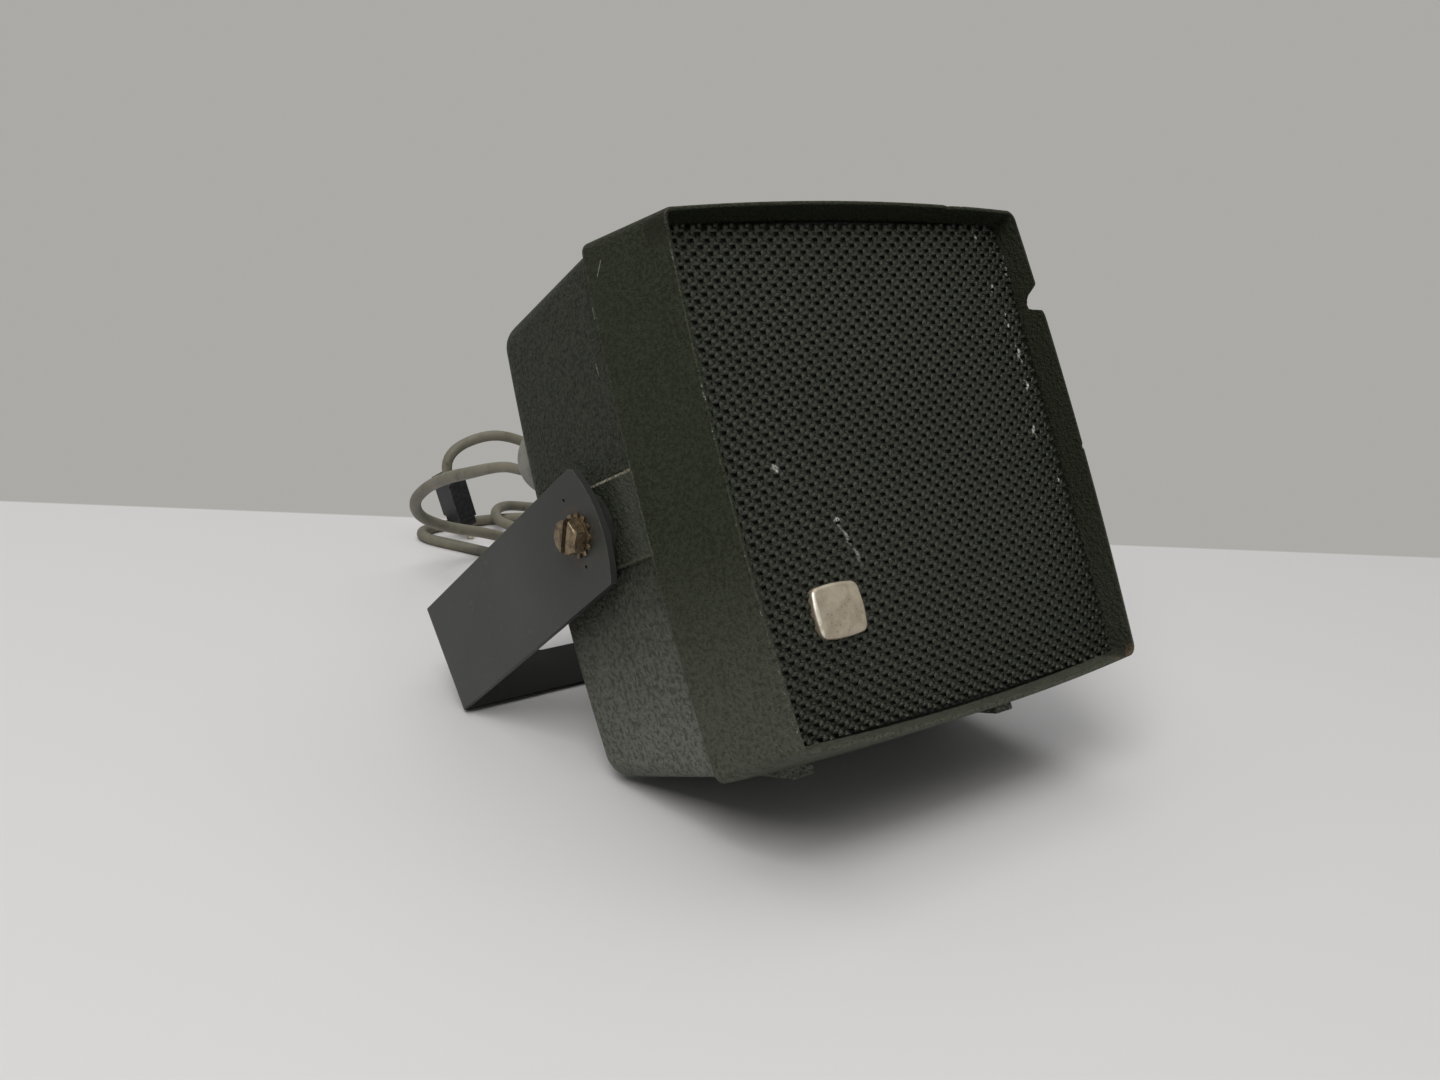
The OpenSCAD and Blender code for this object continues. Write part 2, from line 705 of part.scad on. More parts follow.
module pigtail_leads() {
    cone_touch_r = 22;
    touch_depth = cone_inside(cone_touch_r) + cone_t + pigtail_d;
    tag_under = tag_back - 4 * pigtail_d;
    color([0.72, 0.45, 0.25])
    leaned() for (s = [-1, 1])
        tube(smooth([[s * tag_off, tag_under, tag_mid - tag_t / 2 - 0.3],
            [s * tag_off, tag_under, tag_mid - 4 * pigtail_d],
            [s * (tag_off - pigtail_d), touch_depth + 5 * pigtail_d, tag_mid - 12 * pigtail_d],
            [s * (tag_off - pigtail_d), touch_depth + 4 * pigtail_d, cone_touch_r + 7 * pigtail_d],
            [s * (tag_off - pigtail_d), touch_depth + pigtail_d, cone_touch_r + pigtail_d],
            [s * (tag_off - pigtail_d), touch_depth, cone_touch_r]], 2), pigtail_d, lead_sides);
}

module driver_screws() {
    color([0.6, 0.58, 0.5])
    leaned() for (a = [45:90:315]) {
        x = driver_screw_r * cos(a);
        z = driver_screw_r * sin(a);
        rod(x, z, driver_screw_d * pilot_share - 2 * rub_gap, stud_back - driver_screw_len + 0.5,
            stud_back, small_hole_sides);
        difference() {
            rod(x, z, driver_head_d, stud_back, stud_back + driver_head_h);
            translate([x - driver_head_d / 2, stud_back + driver_head_h / 2, z - 0.5])
                cube([driver_head_d, driver_head_h, 1]);
        }
    }
}

module case_screws() {
    color([0.5, 0.5, 0.47])
    leaned() at_corners(case_screw_off) {
        rod(0, 0, case_screw_d * pilot_share - 2 * rub_gap, screw_tip, head_seat);
        difference() {
            rod(0, 0, screw_head_d, head_seat, head_seat + screw_head_h);
            translate([-screw_head_d / 2, head_seat + screw_head_h / 2, -0.6])
                cube([screw_head_d, screw_head_h, 1.2]);
        }
    }
}

// Side bosses, their inserts and what is stacked on them, outwards from the case
boss_face = seam_half + seam_bow + boss_proud;
boss_core_d = 14;
boss_core_in = 14;
insert_inset = 0.6;
spacer_out = boss_face + spacer_t;
arm_in = spacer_out + rub_gap;
arm_out = arm_in + strip_t;
washer_in = arm_out + rub_gap;
head_in = washer_in + washer_t;

// A cylinder across the case at the pivot, from one distance from the middle to another
module axle(side, d, from, to, sides = 64) {
    translate([side * from, pivot_depth, 0]) rotate([0, side * 90, 0])
        cylinder(h = to - from, d = d, $fn = sides);
}

module rear_shell() {
    color([0.15, 0.17, 0.15])
    leaned() difference() {
        union() {
            difference() {
                union() {
                    rear_solid(back_edge_r, 0, rear_start);
                    for (s = [-1, 1]) {
                        translate([s > 0 ? rear_hx(boss_end) : -boss_face,
                            front_depth + rub_gap, -boss_height / 2])
                            cube([boss_face - rear_hx(boss_end), boss_end - front_depth,
                                boss_height]);
                        translate([s * rib_pitch / 2 - rib_width / 2, 0, 0]) rib();
                    }
                }
                rear_solid(back_edge_r - rear_wall + 1, rear_wall, rear_start - through);
            }
            for (s = [-1, 1])
                axle(s, boss_core_d, boss_face - boss_core_in, boss_face - through);
            at_corners(case_screw_off)
                rod(0, 0, tube_d, rear_start + lap_clearance, case_depth - rear_wall / 2);
        }
        for (s = [-1, 1])
            axle(s, insert_d, boss_face - insert_inset - insert_len, boss_face + through);
        at_corners(case_screw_off) {
            rod(0, 0, head_bore_d, head_seat, case_depth + through);
            rod(0, 0, case_screw_d + 0.4, rear_start - through, head_seat + through);
        }
        rod(-relief_left, relief_up, relief_neck_d + 2 * rub_gap, case_depth - rear_wall - through,
            case_depth + through);
    }
}

// One rib underneath, deepest at the seam and running out towards the back
rib_run = 40;
module rib() {
    rib_top = rear_half_front - 2 * rear_wall;
    rib_low = rear_half_front + rib_drop + seam_bow * 0.63;
    rotate([90, 0, 90]) linear_extrude(rib_width) polygon([
        [front_depth + rub_gap, -rib_top], [front_depth + rub_gap, -rib_low],
        [front_depth + rib_run, -rib_low + rib_slope * rib_run],
        [front_depth + rib_run, -rib_top]]);
}

// Strain relief: a flange inside, a neck through the wall and a domed sleeve outside
module strain_relief() {
    flange_start = case_depth - rear_wall - relief_inside;
    tip_r = relief_tip_d / 2 - 0.4;
    dome = [[0.407, 0], [0.517, 0.058], [0.656, 0.225], [0.792, 0.482], [0.902, 0.793],
        [0.956, 1], [1, 1]];
    profile = [for (e = dome)
        [relief_d / 2 - e[1] * (relief_d / 2 - tip_r), case_depth + relief_len * e[0]]];
    color([0.62, 0.62, 0.6])
    leaned() translate([-relief_left, 0, relief_up]) turned() {
        translate([0, flange_start])
            square([relief_neck_d / 2 + relief_lip, relief_inside - rub_gap]);
        translate([0, flange_start]) square([relief_neck_d / 2, rear_wall + relief_inside + through]);
        polygon(concat([[0, case_depth + rub_gap], [relief_d / 2, case_depth + rub_gap]],
            profile, [[0, case_depth + relief_len]]));
    }
}

// The bracket, drawn with the pivot at the origin: arms along +Y, strip's width along Z
module bracket() {
    color([0.2, 0.2, 0.21])
    swung() difference() {
        intersection() {
            translate([0, 0, -strip_w / 2]) linear_extrude(strip_w) u_shape();
            rotate([90, 0, 90]) translate([0, 0, -arm_out - through])
                linear_extrude(2 * arm_out + 2 * through) arm_shape();
        }
        for (s = [-1, 1]) {
            rotate([0, s * 90, 0]) cylinder(h = arm_out + through,
                d = bolt_d + 2 * running_gap, $fn = 64);
            for (k = [-1, 1]) translate([0, 1.2 - 0.7 * k, 1 + k * stop_hole_off])
                rotate([0, s * 90, 0])
                    cylinder(h = arm_out + through, d = stop_hole_d, $fn = small_hole_sides);
            translate([s * slot_pitch / 2, reach - strip_t - through, 0]) rotate([-90, 0, 0])
                slot_cutter();
        }
    }
}

module slot_cutter() {
    run = slot_len - slot_w;
    depth = strip_t + 2 * through;
    translate([-run / 2, -slot_w / 2, 0]) cube([run, slot_w, depth]);
    for (s = [-1, 1]) translate([s * run / 2, 0, 0]) cylinder(h = depth, d = slot_w, $fn = 48);
}

// Cross-section of the bent strip: a U that is open towards the pivot side
module u_shape() {
    difference() {
        rounded_u(arm_out, reach, bend_r + strip_t);
        rounded_u(arm_in, reach - strip_t, bend_r);
    }
}

module rounded_u(half, length, r) {
    past = 2 * arm_past;
    translate([-half, -past]) square([2 * half, length + past - r]);
    translate([-half + r, -past]) square([2 * half - 2 * r, length + past]);
    for (s = [-1, 1]) translate([s * (half - r), length - r]) circle(r = r, $fn = 48);
}

// Side view of the strip: an arc at the arms' ends with a rounded upper corner, whose circle
// stands a hair proud of the arc so that the two cross instead of touching
module arm_shape() {
    proud = 0.05;
    arc_y = arm_end_r - arm_past;
    corner_z = strip_w / 2 - arm_corner_r;
    corner_y = arc_y - sqrt(pow(arm_end_r - arm_corner_r + proud, 2) - pow(corner_z - arm_skew, 2));
    meet = unit([corner_y - arc_y, corner_z - arm_skew]);
    difference() {
        union() {
            intersection() {
                translate([arc_y, arm_skew]) circle(r = arm_end_r, $fn = 128);
                translate([-arm_past, -strip_w / 2]) square([arm_past + arc_y, strip_w]);
            }
            translate([arc_y - through, -strip_w / 2]) square([reach - arc_y + 2 * through, strip_w]);
        }
        difference() {
            translate([corner_y - 2 * arm_corner_r, corner_z + arm_corner_r * meet[1]])
                square([2 * arm_corner_r, 2 * arm_corner_r]);
            translate([corner_y, corner_z]) circle(r = arm_corner_r, $fn = 64);
        }
    }
}

module spacer_discs() {
    color([0.1, 0.1, 0.1])
    leaned() for (s = [-1, 1]) difference() {
        axle(s, spacer_d, boss_face, spacer_out);
        axle(s, bolt_d + 2 * running_gap, boss_face - through, spacer_out + through);
    }
}

module tooth_washers() {
    tooth = 360 / washer_teeth;
    root = 0.84;
    color([0.5, 0.42, 0.3])
    swung() for (s = [-1, 1]) rotate([0, s * 90, 0]) translate([0, 0, washer_in])
        difference() {
            linear_extrude(washer_t) polygon([for (i = [0:washer_teeth - 1])
                for (e = [[0, root], [0.2, 1], [0.5, 1], [0.7, root]])
                washer_d / 2 * e[1] * [cos(tooth * (i + e[0])), sin(tooth * (i + e[0]))]]);
            translate([0, 0, -through])
                cylinder(h = washer_t + 2 * through, d = bolt_d + 0.2, $fn = 64);
        }
}

screw_slot_w = 1.6;
screw_slot_h = 1.6;
head_turn = 46;
module pivot_bolts() {
    color([0.55, 0.45, 0.3])
    swung() for (s = [-1, 1]) rotate([0, s * 90, 0]) translate([0, 0, head_in]) {
        translate([0, 0, -bolt_len]) cylinder(h = bolt_len, d = bolt_d, $fn = 64);
        rotate([0, 0, head_turn]) difference() {
            cylinder(h = head_h, d = head_af / cos(30), $fn = 6);
            translate([-screw_slot_w / 2, -head_af, head_h - screw_slot_h])
                cube([screw_slot_w, 2 * head_af, head_h]);
        }
    }
}

module pivot_inserts() {
    color([0.72, 0.56, 0.28])
    leaned() for (s = [-1, 1]) difference() {
        axle(s, insert_d - 2 * rub_gap, boss_face - insert_inset - insert_len,
            boss_face - insert_inset);
        axle(s, bolt_d + 2 * rub_gap, boss_face - insert_inset - insert_len - through,
            boss_face);
    }
}

// Cord, as points from the middle of the front rim's foot line, on the table at height 0.
// It leaves the strain relief straight, sinks to the table and runs into the coil.
relief_tip = [-relief_left, (case_depth + relief_len) * cos(lean) + relief_up * sin(lean),
    lift - (case_depth + relief_len) * sin(lean) + relief_up * cos(lean)];
out_of_back = [0, cos(lean), -sin(lean)];
on_table = cord_d / 2;
cord_out = [relief_tip, relief_tip + 0.5 * cord_d * out_of_back, [-42.5, 105.5, 59.4],
    [-42.3, 114, 56.9], [-40.3, 129, 51.2], [-37.8, 144, 45.4], [-34.4, 160, 37.7], [-30.7, 172.5, 29.3],
    [-23, 181, 21], [-11, 184.5, 15], [2, 185.5, 11.2], [13, 189.5, 7], [24, 194.5, 2.6],
    [37, 200, on_table], [52, 206, on_table], [68, 210.5, on_table], [82, 212.1, on_table]];

// The coil: two layers that wind in below and out above, flat on the table
coil_x = 94;
coil_y = 186;
coil_mid_r = 20;
layer_turns = 3;
turn_pitch = cord_d + 0.5;
rings_per_turn = 24;
coil_out_r = coil_mid_r + layer_turns * turn_pitch / 2;
coil_in_r = coil_out_r - layer_turns * turn_pitch;
function coil_r(t) = t < layer_turns ? coil_out_r - turn_pitch * t
    : coil_in_r + turn_pitch * (t - layer_turns);
function climb(t) = min(1, max(0, 2 * (t - layer_turns) + 0.5));
function coil_point(t) = [coil_x + coil_r(t) * sin(360 * t), coil_y + coil_r(t) * cos(360 * t),
    on_table + turn_pitch * climb(t)];
coil_path = concat([[coil_x - cord_d, coil_y + coil_out_r, on_table]],
    [for (i = [0:2 * layer_turns * rings_per_turn]) coil_point(i / rings_per_turn)],
    [[coil_x + cord_d, coil_y + coil_out_r, on_table + turn_pitch]]);
coil_gap = min([for (i = [0:len(coil_path) - 1]) for (j = [i + rings_per_turn / 2:len(coil_path) - 1])
    norm(coil_path[i] - coil_path[j])]) - cord_d;

cord_start = concat(cord_out, [[coil_x - 2 * cord_d, coil_y + coil_out_r, on_table],
    [coil_x - cord_d, coil_y + coil_out_r, on_table]]);

// From the coil round behind it, over and under itself, across the coil's top to the plug
cord_back = [[coil_x + cord_d, coil_y + coil_out_r, on_table + turn_pitch],
    [coil_x + 2 * cord_d, coil_y + coil_out_r, 5.6],
    [109, 213.5, 4], [117, 219, 2.2], [120, 228, on_table], [116, 237, on_table],
    [106, 241, on_table], [90, 240, on_table], [74, 234, on_table], [62, 227.5, on_table],
    [55, 225, 2], [48.6, 224.8, 3], [42, 224.6, 4.4], [34.4, 220.8, 5.8],
    [28.8, 215.6, 6.2], [25.2, 209.5, 6.3], [23.4, 202.5, 6.4], [24, 194.5, 6.9],
    [27, 186.5, 4.6], [31, 178.5, 2.6], [33, 170, on_table], [30.5, 162, on_table],
    [24, 159, on_table], [18, 163, on_table], [15, 171, on_table], [12, 181, on_table],
    [8.2, 190.3, on_table], [3.6, 199.4, on_table], [-0.4, 207, on_table],
    [-2.2, 212.6, on_table], [-0.4, 217.8, on_table], [5, 220.4, on_table],
    [13.3, 221, on_table], [22.5, 221, on_table], [32, 220, on_table], [42, 217.6, on_table],
    [52, 215, on_table], [61, 212.8, 3.6], [69, 210.6, 7.2], [77, 207, 9.8],
    [87, 202.5, 10], [95, 196, 10], [97, 187, 10], [91, 179.5, 10.2], [82, 178.5, 11.6],
    [72, 184, 15.5], [61, 192.5, 21.5], [49, 202, 28], [37.4, 209.5, 32.2],
    [29.9, 211.5, 34.9], [23.3, 212, 36], [17, 212, 35.4], [11.6, 212, 34], [8, 212, 32.2],
    [5.7, 212, 29.6], [4.9, 212, 26.6]];

// The plug stands tilted behind the loops on the tips of its pins
plug_top = [5.9, 212, 22.8];
plug_tilt = 21;
plug_dir = [sin(plug_tilt), 0, -cos(plug_tilt)];
plug_body_x = 7;
plug_body_y = 11;
plug_pin_d = 2.4;
plug_pin_len = 5.2;
plug_pin_off = 3;
cord_end = concat(cord_back, [plug_top - 0.4 * cord_d * plug_dir, plug_top]);

module on_floor() {
    translate([0, -centre_y, 0]) children();
}

cord_sides = 8;
coil_sides = 6;
module cord_to_coil() {
    color([0.36, 0.34, 0.28])
    on_floor() tube(cord_start, cord_d, cord_sides);
}

module cord_coil() {
    color([0.36, 0.34, 0.28])
    on_floor() tube(coil_path, cord_d, coil_sides);
}

module cord_to_plug() {
    color([0.36, 0.34, 0.28])
    on_floor() tube(cord_end, cord_d, cord_sides);
}

module plug_frame() {
    on_floor() translate(plug_top) rotate([0, 180 - plug_tilt, 0]) children();
}

module plug_body() {
    color([0.05, 0.05, 0.055])
    plug_frame() {
        nose = 3;
        translate([-plug_body_x / 2, -plug_body_y / 2, 0])
            cube([plug_body_x, plug_body_y, plug_len - nose]);
        translate([-plug_body_x / 2 + 0.5, -plug_body_y / 2 + 0.5, 0])
            cube([plug_body_x - 1, plug_body_y - 1, plug_len]);
    }
}

module plug_pins() {
    color([0.75, 0.73, 0.68])
    plug_frame() for (s = [-1, 1]) translate([0, s * plug_pin_off, plug_len])
        cylinder(h = plug_pin_len, d = plug_pin_d, $fn = small_hole_sides);
}

cord_total = path_length(smooth(cord_start, 8)) + path_length(coil_path)
    + path_length(smooth(cord_end, 8));
echo(coil_gap = coil_gap, cord_total = cord_total, lift = lift, arm_drop = arm_drop,
    pivot = [0, pivot_y - centre_y, pivot_z], centre_y = centre_y);

front_shell();
rear_shell();
grille_cloth();
grille_sheet();
badge();
driver_gasket();
driver_basket();
cone_surround();
cone();
dust_cap();
voice_coil_former();
voice_coil_winding();
spider();
top_plate();
magnet_ring();
back_plate();
terminal_strip();
terminal_tags();
pigtail_leads();
inner_leads();
driver_screws();
case_screws();
pivot_inserts();
spacer_discs();
bracket();
tooth_washers();
pivot_bolts();
strain_relief();
cord_to_coil();
cord_coil();
cord_to_plug();
plug_body();
plug_pins();
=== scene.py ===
import json
import math
import random

import bmesh
import bpy
from mathutils import Matrix, Vector


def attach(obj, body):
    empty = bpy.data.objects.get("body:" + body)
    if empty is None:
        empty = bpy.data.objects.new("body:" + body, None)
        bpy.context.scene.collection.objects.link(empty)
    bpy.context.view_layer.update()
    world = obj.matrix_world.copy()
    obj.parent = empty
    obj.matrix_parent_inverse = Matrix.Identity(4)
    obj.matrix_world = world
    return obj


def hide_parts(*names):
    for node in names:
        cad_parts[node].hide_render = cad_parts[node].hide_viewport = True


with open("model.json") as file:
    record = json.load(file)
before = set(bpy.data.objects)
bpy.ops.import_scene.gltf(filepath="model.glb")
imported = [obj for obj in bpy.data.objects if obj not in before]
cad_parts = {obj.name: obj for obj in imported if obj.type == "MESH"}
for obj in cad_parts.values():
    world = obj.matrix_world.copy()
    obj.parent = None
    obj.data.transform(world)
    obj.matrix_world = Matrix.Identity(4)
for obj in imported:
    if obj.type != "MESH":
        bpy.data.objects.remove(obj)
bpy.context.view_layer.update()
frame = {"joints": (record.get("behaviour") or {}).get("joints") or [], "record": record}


def placed(name, data):
    """A new object in the scene."""
    thing = bpy.data.objects.new(name, data)
    bpy.context.scene.collection.objects.link(thing)
    return thing


# Camera: it stands low at the loudspeaker's left front corner, a hand's breadth over the
# table, turned a little about its own axis as the snapshot was.
camera_data = bpy.data.cameras.new("snapshot")
camera_data.sensor_width = 36
camera_data.lens = 38.48
camera_data.clip_start = 0.01
camera = placed("snapshot", camera_data)
view_right = Vector((0.7474, -0.6576, 0.0949))
view_down = Vector((-0.1319, -0.2868, -0.9488))
view_ahead = Vector((0.6512, 0.6966, -0.3011))
camera.matrix_world = Matrix.Translation((-0.2727, -0.26412, 0.17091)) @ Matrix(
    (view_right, -view_down, -view_ahead)).transposed().to_4x4()
bpy.context.scene.camera = camera
bpy.context.scene.view_settings.view_transform = "Standard"

# Where the case leans and where the bracket hangs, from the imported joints. A case point is x
# to the right, depth behind the rim and height above its middle, in millimetres.
joints = {joint["name"]: joint for joint in frame["joints"]}
pivot = Vector(joints["bracket_swing"]["pos_m"])
case_back = Vector(joints["cone_travel"]["axis"]).normalized()
case_up = Vector((0, -case_back.z, case_back.y))
LEAN = math.atan2(-case_back.z, case_back.y)
MM, PIVOT_DEPTH = 0.001, 48.9
rim_middle = pivot - case_back * PIVOT_DEPTH * MM
CASE = (Matrix.Translation(rim_middle) @ Matrix((Vector((1, 0, 0)), case_back, case_up))
        .transposed().to_4x4() @ Matrix.Scale(MM, 4))
TABLE = Matrix.Translation((0, rim_middle.y, 0)) @ Matrix.Scale(MM, 4)


class Amount:
    """A node's output; arithmetic on it adds Math nodes."""

    def __init__(self, nodes, socket):
        self.nodes, self.socket = nodes, socket

    def maths(self, operation, *others):
        return self.nodes.add("ShaderNodeMath", {"operation": operation}, self, *others)

    def __add__(self, other):
        return self.maths("ADD", other)

    def __sub__(self, other):
        return self.maths("SUBTRACT", other)

    def __rsub__(self, other):
        return self.nodes.add("ShaderNodeMath", {"operation": "SUBTRACT"}, other, self)

    def __mul__(self, other):
        return self.maths("MULTIPLY", other)

    def __truediv__(self, other):
        return self.maths("DIVIDE", other)

    def __pow__(self, other):
        return self.maths("POWER", other)

    def __abs__(self):
        return self.maths("ABSOLUTE")

    __radd__, __rmul__ = __add__, __mul__

    def at_most(self, other):
        return self.maths("MINIMUM", other)

    def rising(self, low, high):
        """0 below low, 1 above high, smooth between; it falls where low is above high."""
        return self.nodes.add("ShaderNodeMapRange", {"interpolation_type": "SMOOTHSTEP"}, self,
                              From_Min=low, From_Max=high)


class Nodes:
    """A node tree, to which nodes are added one by one with their settings and sockets."""

    def __init__(self, tree):
        self.tree = tree
        tree.nodes.clear()

    def join(self, socket, value):
        if isinstance(value, Amount):
            self.tree.links.new(value.socket, socket)
        elif socket.type == "RGBA" and len(value) == 3:
            socket.default_value = (*value, 1)
        else:
            socket.default_value = value

    def add(self, kind, settings, *values, out=0, **sockets):
        node = self.tree.nodes.new(kind)
        for name, value in settings.items():
            setattr(node, name, value)
        for i, value in enumerate(values):
            self.join(node.inputs[i], value)
        for name, value in sockets.items():
            self.join(node.inputs[name.replace("_", " ")], value)
        return node if out is None else Amount(self, node.outputs[out])

    def seen(self):
        """1 for the rays that see the background, 0 for those that light the scene."""
        path = self.add("ShaderNodeLightPath", {}, out=None)
        return sum(Amount(self, path.outputs[ray]) for ray in
                   ("Is Camera Ray", "Is Glossy Ray", "Is Transmission Ray")).at_most(1)


class Finish(Nodes):
    """A material with one Principled shader."""

    def __init__(self, name, **sockets):
        self.material = bpy.data.materials.new(name)
        self.material.use_nodes = True
        super().__init__(self.material.node_tree)
        self.shader = self.add("ShaderNodeBsdfPrincipled", {}, out=None, **sockets)
        self.output = self.add("ShaderNodeOutputMaterial", {},
                               Amount(self, self.shader.outputs[0]), out=None)

    def place(self, origin=(0, 0, 0), turn=(0, 0, 0), unit=MM):
        """Object coordinates from an origin, in millimetres unless told otherwise."""
        where = self.add("ShaderNodeTexCoord", {}, out="Object")
        return self.add("ShaderNodeMapping", {"vector_type": "TEXTURE"}, where,
                        Location=origin, Rotation=turn, Scale=(unit,) * 3)

    def in_case(self):
        return self.place(rim_middle, (-LEAN, 0, 0))

    def off_pivot(self):
        """The distance from the pivots' axis."""
        flat = self.add("ShaderNodeVectorMath", {"operation": "MULTIPLY"},
                        self.place(tuple(pivot)), (0, 1, 1))
        return self.add("ShaderNodeVectorMath", {"operation": "LENGTH"}, flat, out="Value")

    def stretched(self, vector, scale, turn=(0, 0, 0)):
        return self.add("ShaderNodeMapping", {"vector_type": "POINT"}, vector, Rotation=turn,
                        Scale=scale)

    def parts(self, vector):
        node = self.add("ShaderNodeSeparateXYZ", {}, vector, out=None)
        return [Amount(self, socket) for socket in node.outputs]

    def noise(self, vector, scale, detail=3.0, roughness=0.55):
        return self.add("ShaderNodeTexNoise", {}, vector, Scale=scale, Detail=detail,
                        Roughness=roughness)

    def cells(self, vector, scale, feature="F1"):
        return self.add("ShaderNodeTexVoronoi", {"feature": feature}, vector, Scale=scale)

    def blend(self, share, first, second):
        mixed = self.add("ShaderNodeMix", {"data_type": "RGBA"}, out=None)
        colors = [s for s in mixed.inputs if s.type == "RGBA"]
        self.join(mixed.inputs[0], share)
        self.join(colors[0], first)
        self.join(colors[1], second)
        return Amount(self, next(s for s in mixed.outputs if s.type == "RGBA"))

    def coats(self, share, first, second, *coats):
        """Two colours blended, under coats given as how much of each shows and its colour."""
        color = self.blend(share, first, second)
        for share, over in coats:
            color = self.blend(share, color, over)
        return color

    def bump(self, height, distance, strength=1.0):
        return self.add("ShaderNodeBump", {}, Height=height, Distance=distance,
                        Strength=strength)

    def wear(self, **sockets):
        """Links or sets sockets of the shader."""
        for name, value in sockets.items():
            self.join(self.shader.inputs[name.replace("_", " ")], value)


def make_piece(name, points, faces, where, finish, slot, stands_for, crease=40):
    """A mesh piece from points that a matrix puts into the row frame."""
    mesh = bpy.data.meshes.new(name)
    mesh.from_pydata([where @ Vector(p) for p in points], [], faces)
    mesh.validate()
    return finish_piece(name, mesh, [finish.material], stands_for, crease=crease)


def finish_piece(name, mesh, materials, stands_for, body="speaker", crease=40):
    if crease:
        mesh.shade_smooth()
        mesh.set_sharp_from_angle(angle=math.radians(crease))
    for i, each in enumerate(materials):
        if i < len(mesh.materials):
            mesh.materials[i] = each
        else:
            mesh.materials.append(each)
    thing = placed(name, mesh)
    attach(thing, body)
    if stands_for:
        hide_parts(*stands_for)
    return thing


# Cord: a thin round lead in a soft sheath, once grey and now olive with handling. It leaves
# the strain relief straight, sinks to the table, winds into a flat coil behind the case,
# throws two loose loops to the left and ends in a small plug.
CORD_D = 3.6
RELIEF_X, RELIEF_UP, RELIEF_TIP = -42, 25.8, 96.3
LAID = CORD_D / 2
COIL_X, COIL_Y, COIL_MID_R, LAYER_TURNS, TURN_PITCH, STEPS_PER_TURN = 94, 186, 20, 3, 4.1, 24
coil_out_r = COIL_MID_R + LAYER_TURNS * TURN_PITCH / 2
coil_in_r = coil_out_r - LAYER_TURNS * TURN_PITCH
relief_tip = TABLE.inverted() @ (CASE @ Vector((RELIEF_X, RELIEF_TIP, RELIEF_UP)))


def coil_point(turns):
    winding_in = turns < LAYER_TURNS
    radius = (coil_out_r - TURN_PITCH * turns if winding_in
              else coil_in_r + TURN_PITCH * (turns - LAYER_TURNS))
    climb = min(1, max(0, 2 * (turns - LAYER_TURNS) + 0.5))
    angle = math.tau * turns
    return Vector((COIL_X + radius * math.sin(angle), COIL_Y + radius * math.cos(angle),
                   LAID + TURN_PITCH * climb))


PLUG_TOP = Vector((5.9, 212, 22.8))
PLUG_TILT = math.radians(21)
plug_down = Vector((math.sin(PLUG_TILT), 0, -math.cos(PLUG_TILT)))
cord_stops = [relief_tip, relief_tip + case_back * 0.5 * CORD_D] + [Vector(p) for p in (
    (-42.5, 105.5, 59.4), (-42.3, 114, 56.9), (-40.3, 129, 51.2), (-37.8, 144, 45.4),
    (-34.4, 160, 37.7),
    (-30.7, 172.5, 29.3), (-23, 181, 21), (-11, 184.5, 15), (2, 185.5, 11.2), (13, 189.5, 7),
    (24, 194.5, 2.6), (37, 200, LAID), (52, 206, LAID), (68, 210.5, LAID), (82, 212.1, LAID),
    (COIL_X - CORD_D, COIL_Y + coil_out_r, LAID))]
cord_stops += [coil_point(i / STEPS_PER_TURN)
               for i in range(2 * LAYER_TURNS * STEPS_PER_TURN + 1)]
cord_stops += [Vector(p) for p in (
    (COIL_X + CORD_D, COIL_Y + coil_out_r, LAID + TURN_PITCH), (101.2, 212.15, 5.6),
    (109, 213.5, 4), (117, 219, 2.2), (120, 228, LAID), (116, 237, LAID), (106, 241, LAID),
    (90, 240, LAID), (74, 234, LAID), (62, 227.5, LAID), (55, 225, 2), (48.6, 224.8, 3),
    (42, 224.6, 4.4), (34.4, 220.8, 5.8), (28.8, 215.6, 6.2), (25.2, 209.5, 6.3),
    (23.4, 202.5, 6.4), (24, 194.5, 6.9), (27, 186.5, 4.6), (31, 178.5, 2.6),
    (33, 170, LAID), (30.5, 162, LAID), (24, 159, LAID), (18, 163, LAID), (15, 171, LAID),
    (12, 181, LAID), (8.2, 190.3, LAID), (3.6, 199.4, LAID), (-0.4, 207, LAID),
    (-2.2, 212.6, LAID), (-0.4, 217.8, LAID), (5, 220.4, LAID), (13.3, 221, LAID),
    (22.5, 221, LAID), (32, 220, LAID), (42, 217.6, LAID), (52, 215, LAID), (61, 212.8, 3.6),
    (69, 210.6, 7.2), (77, 207, 9.8), (87, 202.5, 10), (95, 196, 10), (97, 187, 10),
    (91, 179.5, 10.2), (82, 178.5, 11.6), (72, 184, 15.5), (61, 192.5, 21.5), (49, 202, 28),
    (37.4, 209.5, 32.2), (29.9, 211.5, 34.9), (23.3, 212, 36), (17, 212, 35.4),
    (11.6, 212, 34), (8, 212, 32.2), (5.7, 212, 29.6), (4.9, 212, 26.6))]
cord_stops += [PLUG_TOP - plug_down * 0.4 * CORD_D, PLUG_TOP]


def smooth_line(stops, spacing):
    """A curve through the stops with points about as far apart as the spacing."""
    line = []
    for i in range(len(stops) - 1):
        before, start = stops[max(i - 1, 0)], stops[i]
        end, after = stops[i + 1], stops[min(i + 2, len(stops) - 1)]
        steps = max(1, round((end - start).length / spacing))
        for k in range(steps):
            t = k / steps
            line.append(0.5 * (2 * start + (end - before) * t
                               + (2 * before - 5 * start + 4 * end - after) * t ** 2
                               + (3 * start - before - 3 * end + after) * t ** 3))
    line.append(stops[-1])
    for _ in range(3):
        line[1:-1] = [(a + 2 * b + c) / 4 for a, b, c in zip(line, line[1:], line[2:])]
    return line


